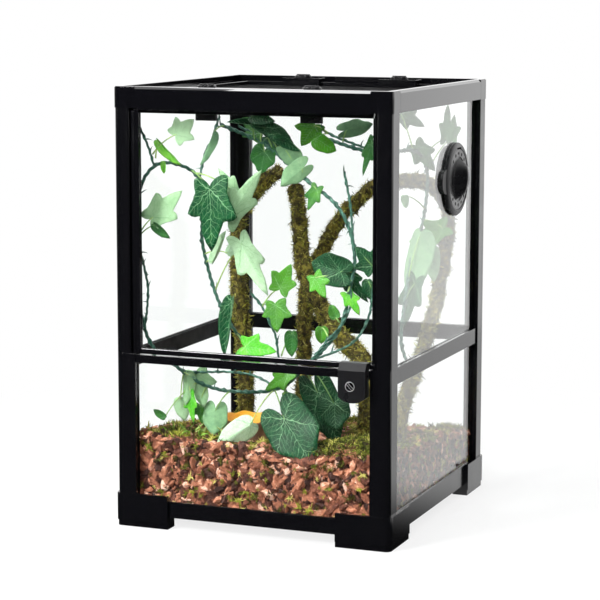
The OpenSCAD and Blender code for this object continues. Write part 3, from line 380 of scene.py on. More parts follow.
main_stem = [
    (-69, -70, 415), (-18, -72, 395), (26, -76, 363), (67, -80, 333), (85, -84, 291), (82, -90, 251),
    (72, -94, 210), (38, -98, 171), (10, -106, 147), (-37, -108, 141), (-70, -114, 147), (-98, -122, 166),
    (-122, -130, 188), (-132, -135, 225), (-134, -137, 275), (-133, -137, 329), (-130, -132, 358),
    (-117, -122, 376), (-98, -106, 374), (-83, -94, 358), (-82, -90, 316), (-84, -84, 289),
    (-71, -78, 235), (-50, -76, 198), (-23, -74, 174), (-2, -72, 158), (6, -73, 124), (0, -74, 84)]
side_stem = [
    (41, -62, 404), (83, -60, 392), (104, -46, 388), (109, 0, 388), (107, 48, 380), (104, 84, 352),
    (104, 70, 306), (106, 34, 282), (108, 4, 240), (106, -6, 190), (111, -2, 165)]


def shoot(points, start=None, end=None):
    ends = [[tuple(spline(stem, at))] if stem else [] for stem, at in (start or (None, 0), end or (None, 0))]
    return ends[0] + points + ends[1]


strands = [
    shoot([(-135, -128, 415), (-127, -124, 394)], end=(main_stem, 16.8)),
    shoot([(-73, -64, 423), (-74, -72, 411), (-75, -80, 398), (-79, -88, 386)], end=(main_stem, 19)),
    shoot([(-50, -66, 413), (-26, -68, 403), (0, -71, 384)], end=(main_stem, 2.4)),
    shoot([(40, -60, 412), (58, -57, 403)], end=(side_stem, 1.8)),
    shoot([(75, -88, 372), (79, -88, 353), (82, -88, 337), (84, -88, 315)], end=(main_stem, 4.2)),
    shoot([(-29, -84, 241), (-18, -82, 228), (-10, -78, 209), (-5, -74, 193)], end=(main_stem, 25)),
    shoot([(84, -92, 236), (76, -96, 216), (62, -98, 200)], (main_stem, 4.9), (main_stem, 7)),
    shoot([(-70, -112, 160), (-42, -107, 161), (-16, -104, 158)], (main_stem, 10.7), (main_stem, 8)),
    shoot([(-131, -132, 278), (-126, -130, 250), (-127, -130, 226), (-129, -131, 205)], (main_stem, 14.4),
          (main_stem, 12.2)),
    shoot([(103, -78, 251), (99, -80, 222), (84, -88, 196)], end=(main_stem, 6.8)),
]
print("branches:", len(branches), "ivy strands:", 2 + len(strands))


# %% [markdown]
# Geometry Nodes grow these things from simple bases. A base is a line of vertices or a plain patch,
# and a tree turns it into the finished surface. `grow` runs the tree once and keeps the plain mesh, so
# that nothing live is left on the piece.

# %% Helpers: a base mesh, running a tree on it, keeping the piece
def base_mesh(vertices, edges=(), faces=(), **attributes):
    mesh = bpy.data.meshes.new("base")
    mesh.from_pydata([tuple(v) for v in vertices], list(edges), list(faces))
    for label, values in attributes.items():
        values = np.asarray(values, dtype=np.float32)
        mesh.attributes.new(label, "FLOAT", "POINT").data.foreach_set("value", values)
    return mesh


def path_mesh(points, thick):
    spans = len(points) - 1
    radii = [np.interp(i / spans, np.linspace(0, 1, len(thick)), thick) for i in range(len(points))]
    return base_mesh(points, [(i, i + 1) for i in range(spans)], thick=radii)


def growth(name, **inputs):
    """A Geometry Nodes group that makes one geometry out of another."""
    return group("Geometry", name, {"Geometry": "Geometry"}, Geometry="Geometry", **inputs)


def coated(graph, given, shape):
    """End a tree: its shape made real, in the material that the tree is given."""
    real = graph("RealizeInstances", {0: shape})
    graph("NodeGroupOutput", {0: graph("SetMaterial", {0: real, "Material": given["Finish"]})})
    print("tree:", graph.tree.name, len(graph.tree.nodes), "nodes")


def settle(piece, slot, *replaced, body="tank"):
    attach(piece, body)
    if replaced:
        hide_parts(*replaced)
    piece.data.calc_loop_triangles()
    print(piece.name, "triangles:", len(piece.data.loop_triangles))


def grow(name, base, graph, slot=None, *replaced, **values):
    """Run a tree once on a base mesh, with the values of its inputs, and keep the plain mesh it makes."""
    piece = bpy.data.objects.new(name, base)
    scene.collection.objects.link(piece)
    run = piece.modifiers.new("grow", "NODES")
    run.node_group = graph.tree
    for item in graph.tree.interface.items_tree:
        if item.in_out == "INPUT" and item.name in values:
            run[item.identifier] = values[item.name]
    state = bpy.context.evaluated_depsgraph_get()
    piece.data = bpy.data.meshes.new_from_object(piece.evaluated_get(state), preserve_all_data_layers=True,
                                                 depsgraph=state)
    piece.data.name = name
    piece.modifiers.clear()
    if slot:
        settle(piece, slot, *replaced)
    return piece


# %% [markdown]
# Everything small here is one of three shapes. A moss fibre is a bent three-sided spike, a tuft is a
# pinch of such fibres, and a bark chip is a flat split piece with a broken outline. Each is made once, in
# a few variants, and scattered.

# %% Small shapes: moss fibre, bark chip and tuft
def fibre_mesh(bend):
    rings = [(0.0, 0.0, 0.11), (0.12 * bend, 0.42, 0.085), (0.42 * bend, 0.78, 0.05)]
    points = [(x + r * math.cos(a), r * math.sin(a), z) for x, z, r in rings for a in (0.3, 2.4, 4.5)]
    points.append((0.8 * bend, 0.0, 1.0))
    sides = [(k + i, k + (i + 1) % 3, k + 3 + (i + 1) % 3, k + 3 + i) for k in (0, 3) for i in range(3)]
    sides += [(6 + i, 6 + (i + 1) % 3, 9) for i in range(3)] + [(2, 1, 0)]
    return base_mesh(points, faces=sides)


def chip_mesh(seed):
    draw = np.random.default_rng(seed)
    corners = 7
    turns = np.sort(np.linspace(0, 2 * math.pi, corners, endpoint=False) + draw.uniform(-0.35, 0.35, corners))
    reach = draw.uniform(0.6, 1.0, corners)
    wide, thick, slope = draw.uniform(0.32, 0.7), draw.uniform(0.12, 0.26), draw.uniform(-0.25, 0.25, 2)
    edge = [(math.cos(t) * r, math.sin(t) * r * wide) for t, r in zip(turns, reach)]
    points = [(x, y, -thick * draw.uniform(0.5, 1.2)) for x, y in edge]
    inner = [(x * draw.uniform(0.6, 0.95), y * draw.uniform(0.55, 0.95)) for x, y in edge]
    points += [(x, y, thick * draw.uniform(0.5, 1.1) + slope[0] * x + slope[1] * y) for x, y in inner]
    ridge_x, ridge_y = inner[0]
    points.append((ridge_x * 0.35 + draw.uniform(-0.1, 0.1), ridge_y * 0.25, thick * draw.uniform(1.0, 1.6)))
    faces = [tuple(range(corners - 1, -1, -1))]
    faces += [(i, (i + 1) % corners, corners + (i + 1) % corners, corners + i) for i in range(corners)]
    faces += [(corners + i, corners + (i + 1) % corners, 2 * corners) for i in range(corners)]
    return base_mesh(points, faces=faces)


def tuft_mesh(seed):
    """A pinch of moss: sixteen fibres that lean out of one place."""
    draw = np.random.default_rng(seed)
    tuft = bmesh.new()
    for _ in range(16):
        spike = fibre_mesh(draw.uniform(0.2, 1.4))
        way = Matrix.Rotation(draw.uniform(0, 6.28), 4, "Z") @ Matrix.Rotation(draw.uniform(0.2, 1.5), 4, "X")
        place = Matrix.Translation((draw.uniform(-0.35, 0.35), draw.uniform(-0.35, 0.35), 0))
        spike.transform(place @ way @ Matrix.Scale(draw.uniform(0.5, 1.0), 4))
        tuft.from_mesh(spike)
        bpy.data.meshes.remove(spike)
    mesh = bpy.data.meshes.new("tuft")
    tuft.to_mesh(mesh)
    tuft.free()
    return mesh


def variants(name, meshes):
    shelf = bpy.data.collections.new(name)
    for i, mesh in enumerate(meshes):
        shelf.objects.link(bpy.data.objects.new(f"{name}_{i}", mesh))
    return shelf


fibres = variants("fibres", [fibre_mesh(b) for b in (0.2, 0.6, 1.0, 1.4)])
chips = variants("chips", [chip_mesh(s) for s in range(14)])
tufts = variants("tufts", [tuft_mesh(s) for s in range(4)])


# %% [markdown]
# This tree covers any surface with one kind of scattered shape. Points are spread evenly over the faces,
# each gets a shape that stands along the surface, is turned at random and leans a little, and stores a
# random `tone` that the finish reads. Afterwards everything is pressed inside a box, as chips are
# pressed flat where they meet the glass.

# %% Tree: scatter shapes over a surface
scatter, given = growth("scatter", Shapes="Collection", Density="Float", Seed="Int", Smallest="Float",
                        Largest="Float", Few="Float", Lean="Float", Lift="Float", Low="Vector", High="Vector",
                        Finish="Material")
spread = scatter("DistributePointsOnFaces", {
    "Mesh": given["Geometry"], "Density": given["Density"], "Seed": given["Seed"]}).outputs
shelf = scatter("CollectionInfo", {
    "Collection": given["Shapes"], "Separate Children": True, "Reset Children": True})
luck = scatter.power(scatter.random(0.0, 1.0, 5), given["Few"])
laid = scatter("InstanceOnPoints", {
    "Points": spread["Points"], "Instance": shelf, "Pick Instance": True, "Rotation": spread["Rotation"],
    "Scale": scatter.remap(luck, 0.0, 1.0, given["Smallest"], given["Largest"])})
spin = scatter("CombineXYZ", {"Z": scatter.random(-math.pi, math.pi, 6)})
lean = scatter("CombineXYZ", {"X": scatter.random(scatter.multiply(given["Lean"], -1.0), given["Lean"], 7)})
rise = scatter("CombineXYZ", {"Z": scatter.random(0.0, given["Lift"], 8)})
turned = scatter("RotateInstances", {0: laid, "Rotation": spin})
leant = scatter("RotateInstances", {0: turned, "Rotation": lean})
lifted = scatter("TranslateInstances", {0: leant, "Translation": rise})
toned = scatter("StoreNamedAttribute", {0: lifted, "Name": "tone", "Value": scatter.random(0.0, 1.0, 9)},
                data_type="FLOAT", domain="INSTANCE")
real = scatter("RealizeInstances", {0: toned})
pressed = scatter.vector("MAXIMUM", scatter("InputPosition"), given["Low"])
pressed = scatter.vector("MINIMUM", pressed, given["High"])
coated(scatter, given, scatter("SetPosition", {0: real, "Position": pressed}))


# %% [markdown]
# A branch is a plastic-cored vine with a rough bark, wrapped in dried moss. The tree sweeps a ring along
# the path and pushes the skin in and out with two noises, coarse lumps and a fine grain. The moss is the
# scatter tree on that skin, in two coats: a dense short one and a thin one of longer loose fibres.

# %% Tree: branch skin
def follow(graph, given, step):
    """The curve through a base line, the same in even steps, and the thickness stored along it."""
    line = graph("MeshToCurve", {0: given["Geometry"]})
    thick = graph("InputNamedAttribute", {"Name": "thick"}, data_type="FLOAT")
    return line, graph("ResampleCurve", {0: line, "Length": step}, mode="LENGTH"), thick


skin, given = growth("branch_skin", Step="Float", Rough="Float", Finish="Material")
line, even, thick = follow(skin, given, given["Step"])
ring = skin("CurvePrimitiveCircle", {"Resolution": 22, "Radius": 1.0})
swept = skin("CurveToMesh", {"Curve": even, "Profile Curve": ring, "Scale": thick, "Fill Caps": True})
lumps = skin("TexNoise", {"Scale": 95.0, "Detail": 3.0})
grain = skin("TexNoise", {"Scale": 260.0, "Detail": 2.0})
both = skin.add(lumps, skin.multiply(grain, 0.5))
push = skin.multiply(skin.subtract(both, 0.8), given["Rough"])
moved = skin("VectorMath", {0: skin("InputNormal"), "Scale": push}, operation="SCALE")
coated(skin, given, skin("SetShadeSmooth", {0: skin("SetPosition", {0: swept, "Offset": moved})}))

# %% [markdown]
# Nothing that grows has one colour. A shader group adds a soft cloud to the tone that each chip, fibre or
# leaf carries, and a row of colour stops turns the sum into its colour, from shade to sunlit edge.

# %% Shader group: two-tone cloud, for bark, moss and the painted shade of the bed's core
cloudy, given = group("Shader", "cloudy_tone", {"Tone": "Float", "Height": "Float"},
                      Tone="Float", Scale="Float", Spread="Float")
spot = cloudy("TexCoord").outputs["Object"]
wide = cloudy("TexNoise", {"Vector": spot, "Scale": given["Scale"], "Detail": 5.0, "Roughness": 0.65})
fine = cloudy("TexNoise", {"Vector": spot, "Scale": 700.0, "Detail": 3.0})
swing = cloudy.multiply(cloudy.subtract(wide, 0.5), given["Spread"])
cloudy("NodeGroupOutput", {"Tone": cloudy.add(given["Tone"], swing, use_clamp=True),
                           "Height": cloudy.add(wide, fine)})


def speckled(graph, stops, scale, spread, toned=True):
    """A colour between the stops, and a height, from the cloud and each piece's own tone."""
    tone = graph("Attribute", attribute_name="tone").outputs["Fac"] if toned else 0.5
    look = graph("Group", {"Scale": scale, "Spread": spread, "Tone": tone}, node_tree=cloudy.tree)
    ramp = graph("ValToRGB", {0: look.outputs["Tone"]})
    elements = ramp.color_ramp.elements
    elements.remove(elements[1])
    for at, color in stops:
        elements.new(at).color = (*color, 1)
    elements.remove(elements[0])
    return ramp, look.outputs["Height"]


def grown_finish(name, stops, scale, spread, bump, roughness, toned=True):
    material, graph, shader = principled(name, {"Roughness": roughness})
    color, height = speckled(graph, stops, scale, spread, toned)
    rough = graph("Bump", {"Height": height, "Strength": bump, "Distance": 0.001})
    graph.fill(shader, {"Base Color": color, "Normal": rough})
    return material


mossy_bark = grown_finish("mossy_bark", [
    (0.2, (0.014, 0.009, 0.003)), (0.5, (0.070, 0.052, 0.008)), (0.8, (0.26, 0.21, 0.03))],
    170, 2.2, 0.9, 0.9, toned=False)
moss_olive = grown_finish("moss_olive", [
    (0.0, (0.020, 0.014, 0.003)), (0.25, (0.085, 0.075, 0.008)), (0.5, (0.15, 0.165, 0.012)),
    (0.75, (0.31, 0.31, 0.030)), (1.0, (0.66, 0.58, 0.17))], 60, 1.9, 0.3, 0.95)
moss_green = grown_finish("moss_green", [
    (0.0, (0.012, 0.010, 0.002)), (0.3, (0.045, 0.042, 0.006)), (0.6, (0.10, 0.125, 0.008)),
    (0.85, (0.21, 0.25, 0.02)), (1.0, (0.48, 0.46, 0.08))], 90, 1.7, 0.3, 0.95)
grass_green = grown_finish("grass_green", [
    (0.0, (0.06, 0.07, 0.012)), (0.4, (0.11, 0.20, 0.025)), (0.8, (0.20, 0.40, 0.04)),
    (1.0, (0.55, 0.52, 0.24))], 40, 0.7, 0.2, 0.85)
chip_brown = grown_finish("chip_brown", [
    (0.0, (0.030, 0.008, 0.005)), (0.25, (0.090, 0.026, 0.015)), (0.5, (0.20, 0.064, 0.034)),
    (0.75, (0.36, 0.13, 0.070)), (0.9, (0.58, 0.24, 0.14)), (1.0, (0.84, 0.54, 0.42))], 220, 0.9, 1.0, 0.8)
# Painted shade: the core's near-black colour stands for the shadow deep in the gaps between the chips.
gap_shade = grown_finish("painted_gap_shade", [
    (0.2, (0.012, 0.006, 0.004)), (0.8, (0.07, 0.026, 0.018))], 150, 1.4, 0.8, 0.95, toned=False)
print("grown finishes ready")

# %% Branches and their moss
coat = dict(Shapes=fibres, Lift=0.0, Finish=moss_olive, Low=(-1, -1, -1), High=(1, 1, 1))
for number, (name, (points, thick)) in enumerate(branches.items()):
    line = path_mesh(route(points), [branch_radius * t * skin_share for t in thick])
    bark = grow(name + "_bark", line, skin, "mossy_wood", name, Step=0.0025, Rough=0.011, Finish=mossy_bark)
    grow(name + "_moss", bark.data, scatter, "mossy_wood", Density=150000.0, Seed=number,
         Smallest=0.0020, Largest=0.0048, Few=1.5, Lean=1.15, **coat)
    grow(name + "_loose_moss", bark.data, scatter, "mossy_wood", Density=14000.0, Seed=40 + number,
         Smallest=0.0035, Largest=0.0075, Few=2.0, Lean=1.3, **coat)

# %% [markdown]
# The bed is bark mulch: thousands of split chips with moss between. It fills the lower tank, so it shows
# at its cut sides through the panes as well as on top. A core fills the bed and carries the chips. Its
# near-black colour is painted shade for the deep gaps between them. Its top has the slope and the waves of
# the CAD source, with moss heaps and a shallow scoop at the front pane, and chips are scattered on the top
# and on each side.

# %% Bark bed: core, top chips and side chips
heaps = [
    (98, -126, 26, 12), (122, -110, 20, 9), (108, -88, 22, 9), (-80, -124, 13, 4), (-96, 62, 20, 6),
    (-40, 92, 18, 6), (84, -30, 22, 7), (20, 110, 16, 5), (120, 108, 18, 6), (130, 20, 14, 5),
    (60, 40, 14, 4)]
half_depth, front_high, back_fall, corner_rise, scoop_deep = 158, 92, 30, 7, 8


def bark_height(x, y):
    """The bed's top at a place in mm: a fall to the back, a corner, waves, heaps and a scoop at the front."""
    fall = back_fall * max(0.0, (y + half_depth) / (2 * half_depth)) ** 1.3
    rise = corner_rise * math.exp(-((x + 130) ** 2 + (y + 130) ** 2) / 3600)
    waves = 1.6 * math.sin(math.radians(x * 2.3 + y * 1.1)) + 1.4 * math.cos(math.radians(y * 2.7 - x * 1.3))
    heap = max(h * math.exp(-((x - cx) ** 2 + (y - cy) ** 2) / r ** 2) for cx, cy, r, h in heaps)
    scoop = scoop_deep * math.exp(-((x - 45) / 100) ** 2 - ((y + 152) / 24) ** 2)
    return (front_high - fall + rise + waves + heap - scoop) * 0.001


def bed_point(u, v, drop=0.0):
    x, y = (2 * u - 1) * bed_half_x, (2 * v - 1) * bed_half_y
    return Vector((x, y, bark_height(x * 1000, y * 1000) - drop)) + from_tank_middle


def sheet(rows, columns, place):
    points = [place(i / columns, j / rows) for j in range(rows + 1) for i in range(columns + 1)]
    starts = [j * (columns + 1) + i for j in range(rows) for i in range(columns)]
    return base_mesh(points, faces=[(k, k + 1, k + columns + 2, k + columns + 1) for k in starts])


def bed_top(drop):
    return sheet(40, 40, lambda u, v: bed_point(u, v, drop))


def bed_side(side, inset):
    along, inward = bed_edges[side]

    def place(u, v):
        top = bed_point(*along(u), drop=0.0015)
        top.z = bed_floor + (top.z - bed_floor) * v
        return top + Vector((*inward, 0)) * inset
    return sheet(4, 24, place)


bed_edges = {"front": (lambda u: (u, 0), (0, 1)), "right": (lambda u: (1, u), (-1, 0)),
             "back": (lambda u: (1 - u, 1), (0, -1)), "left": (lambda u: (0, 1 - u), (1, 0))}
box = dict(Low=from_tank_middle + Vector((-bed_half_x, -bed_half_y, bed_floor + 0.0002)),
           High=from_tank_middle + Vector((bed_half_x, bed_half_y, 1)))
core_inset, core_drop = 0.0075, 0.005
core_build = bmesh.new()
core_build.from_mesh(bed_top(core_drop))
for side in bed_edges:
    core_build.from_mesh(bed_side(side, 0.0))
core_build.from_mesh(sheet(1, 1, lambda u, v: from_tank_middle + Vector((
    (2 * u - 1) * bed_half_x, (1 - 2 * v) * bed_half_y, bed_floor + 0.0003))))
for vert in core_build.verts:
    flat = vert.co - from_tank_middle
    flat.x = max(core_inset - bed_half_x, min(bed_half_x - core_inset, flat.x))
    flat.y = max(core_inset - bed_half_y, min(bed_half_y - core_inset, flat.y))
    flat.z = min(flat.z, bark_height(flat.x * 1000, flat.y * 1000) - core_drop)
    vert.co = flat + from_tank_middle
bmesh.ops.remove_doubles(core_build, verts=core_build.verts, dist=0.0004)
bmesh.ops.recalc_face_normals(core_build, faces=core_build.faces)
settle(keep("bark_core", core_build, gap_shade), "bark", "bark_bed")
loose_chips = dict(Smallest=0.0024, Largest=0.0125, Few=2.4, Shapes=chips, Finish=chip_brown, **box)
grow("bark_chips_top", bed_top(0.002), scatter, "bark", Density=72000.0, Seed=3, Lean=0.75, Lift=0.003,
     **loose_chips)
for number, side in enumerate(bed_edges):
    grow(f"bark_chips_{side}", bed_side(side, 0.0048), scatter, "bark", Density=78000.0, Seed=10 + number,
         Lean=0.8, Lift=0.0022, **loose_chips)

# %% [markdown]
# Moss lies on the bark in clumps, with some blades of dry grass. Each clump is a small round patch of the
# bed's surface, bulged up in the middle, on which the scatter tree plants fibres.

# %% Moss clumps on the bark
clumps = [
    (98, -126, 32, 3), (122, -112, 22, 3), (106, -90, 26, 3), (84, -136, 20, 3), (112, -138, 17, 3),
    (70, -112, 20, 3), (-96, -134, 12, 3), (-122, -128, 12, 3), (128, -80, 18, 4), (-76, -124, 13, 4),
    (-104, -112, 12, 4), (-46, -108, 12, 3), (-62, -136, 7, 2), (-20, -140, 7, 2), (30, -132, 8, 2),
    (134, -140, 10, 3), (-40, -100, 10, 3), (-96, 62, 24, 3), (-40, 92, 22, 3), (82, -30, 26, 4),
    (60, 40, 15, 3), (10, 0, 13, 4), (-120, 20, 15, 4), (20, 110, 20, 3), (114, -46, 22, 6),
    (-10, -40, 12, 4), (120, 110, 20, 3), (-130, -60, 13, 4), (130, 20, 14, 3), (132, -30, 12, 4)]
grassy = [
    (-76, -124, 14, 4), (-46, -108, 14, 4), (-104, -112, 12, 4), (-60, -100, 12, 3), (130, -132, 12, 3),
    (60, -136, 10, 2), (-128, -140, 9, 2)]
spokes, rings, clump_reach_x, clump_reach_y = 16, 5, 138, 146


def clump_patch(places, seed):
    draw = np.random.default_rng(seed)
    points, faces = [], []
    for x, y, radius, bulge in places:
        start = len(points)
        wobble = draw.uniform(0.7, 1.15, spokes)
        for ring in range(rings + 1):
            share = ring / rings
            for spoke in range(spokes):
                turn = 2 * math.pi * spoke / spokes
                reach = radius * share * wobble[spoke]
                px = max(-clump_reach_x, min(clump_reach_x, x + reach * math.cos(turn)))
                py = max(-clump_reach_y, min(clump_reach_y, y + reach * math.sin(turn)))
                height = bark_height(px, py) * 1000 + bulge * (1 - share ** 2) - 1.0
                points.append(in_tank((px, py, height)))
        for ring_start in range(start, start + rings * spokes, spokes):
            for here, there in ((s, (s + 1) % spokes) for s in range(spokes)):
                outer = ring_start + spokes
                faces.append((ring_start + here, outer + here, outer + there, ring_start + there))
    return base_mesh(points, faces=faces)


planted = dict(Shapes=fibres, Lift=0.0, **box)
grow("moss_clumps", clump_patch(clumps, 21), scatter, "mossy_wood", Density=330000.0, Seed=31,
     Smallest=0.002, Largest=0.0058, Few=1.4, Lean=1.2, Finish=moss_green, **planted)
grow("grass_blades", clump_patch(grassy, 22), scatter, "leaves", Density=34000.0, Seed=32,
     Smallest=0.005, Largest=0.015, Few=1.3, Lean=1.3, Finish=grass_green, **planted)

# %% Pinches of moss between the chips
pinch = dict(Shapes=tufts, Few=1.6, Lean=0.7, Lift=0.001, Finish=moss_olive, **box)
grow("moss_tufts_top", bed_top(-0.0015), scatter, "mossy_wood", Density=5200.0, Seed=51,
     Smallest=0.003, Largest=0.0085, **pinch)
for number, side in enumerate(bed_edges):
    grow(f"moss_tufts_{side}", bed_side(side, 0.0012), scatter, "mossy_wood", Density=7600.0,
         Seed=60 + number, Smallest=0.0028, Largest=0.0078, **pinch)


# %% [markdown]
# The food dish imitates a hollowed rock: uneven outside, a thin wavy rim and a smooth orange bowl. It is
# one lathe-like mesh whose radius and height are disturbed by noise, more outside than inside. Rings of
# vertices are joined by `bridge`, and `tube` sweeps them along a line for stalks and beads further on.

# %% Helpers: rings of vertices
def turns(count):
    return [2 * math.pi * k / count for k in range(count)]


def bridge(build, first, second, slot=0):
    """Close the band between two rings of vertices, of which one may be a single vertex."""
    count = max(len(first), len(second))
    for k, n in ((k, (k + 1) % count) for k in range(count)):
        corners = [ring[i % len(ring)] for ring, i in ((first, k), (first, n), (second, n), (second, k))]
        face = build.faces.new(tuple(dict.fromkeys(corners)))
        face.smooth, face.material_index = True, slot


def tube(build, line, radii, side, sides, closed=False, slot=0):
    """Sweep a ring along a line that ends in flat caps or closes on itself, and return its vertices."""
    last, rings = len(line) - 1, []
    for i, point in enumerate(line):
        after, before = ((i + 1) % (last + 1), i - 1) if closed else (min(i + 1, last), max(i - 1, 0))
        ahead = (line[after] - line[before]).normalized()
        side = (side - side.dot(ahead) * ahead).normalized()
        over = ahead.cross(side)
        rings.append([build.verts.new(point + radii[i] * (math.cos(a) * side + math.sin(a) * over))
                      for a in turns(sides)])
    for first, second in zip(rings, rings[1:] + rings[:closed]):
        bridge(build, first, second, slot)
    if not closed:
        for cap in (rings[0][::-1], rings[-1]):
            build.faces.new(cap).material_index = slot
    return [vert for ring in rings for vert in ring]


# %% Food dish
dish_middle, dish_radius, dish_high, lip_from, rim_ring = Vector((-40, -62)), 33, 24, 18, 8
dish_floor = bark_height(*dish_middle) * 1000 - 2
profile = [
    (0.0, 0.0, 0), (0.7, 0.0, 0), (0.96, 0.5, 1), (1.0, 3.5, 1), (0.985, 8, 1), (0.95, 13, 1),
    (0.955, 18, 1), (0.97, 21.5, 1), (0.955, 23.4, 1), (0.925, 24, 1), (0.895, 23.4, 1), (0.86, 21, 0),
    (0.8, 17, 0), (0.68, 13.6, 0), (0.5, 12.2, 0), (0.25, 11.6, 0), (0.0, 11.5, 0)]
dish_build = bmesh.new()
loops = []
for share, height, rough in profile:
    loop = []
    for turn in turns(96 if share else 1):
        way = Vector((math.cos(turn), math.sin(turn), 0))
        wave = noise.noise(way * 1.6 + Vector((3, 0, height * 0.02))) * 0.055
        stone = noise.noise(way * 5 + Vector((0, 0, height * 0.16))) * 0.035 * rough
        lip = noise.noise(way * 2.2 + Vector((9, 0, 0))) * 3.4 * (height / dish_high) ** 2
        down = min(0.0, (lip if rough or height > lip_from else 0) - 1.2)
        out = min(1.0, share + wave + stone - 0.045)
        spot = way * out * dish_radius + Vector((0, 0, height + down)) if share else (0, 0, height)
        loop.append(dish_build.verts.new(spot))
    loops.append(loop)
for ring, (first, second) in enumerate(zip(loops, loops[1:])):
    bridge(dish_build, first, second, int(ring >= rim_ring))
for vert in dish_build.verts:
    vert.co = in_tank(vert.co + Vector((dish_middle.x, dish_middle.y, dish_floor)))
bmesh.ops.recalc_face_normals(dish_build, faces=dish_build.faces)
dish_rock = grown_finish("dish_rock", [
    (0.2, (0.11, 0.05, 0.03)), (0.5, (0.22, 0.105, 0.055)), (0.8, (0.40, 0.21, 0.10))], 60, 1.2, 0.7, 0.8,
    toned=False)
dish_bowl = grown_finish("dish_bowl", [
    (0.2, (0.66, 0.24, 0.01)), (0.5, (0.90, 0.42, 0.025)), (0.8, (0.95, 0.56, 0.09))], 35, 1.2, 0.25, 0.5,
    toned=False)
settle(keep("dish_rock", dish_build, dish_rock, dish_bowl), "dish", "food_dish")

# %% [markdown]
# ## Ivy
# The ivy is artificial: moulded plastic stems with nodes and short side spikes, and leaves of printed
# cloth. Each leaf is written as a row: where its stalk leaves the stem, where the blade starts, where its
# tip is, how wide it is, its outline, its tone and how far it is rolled about its midrib. A row ends with
# "under" where the leaf's underside is turned to the front.

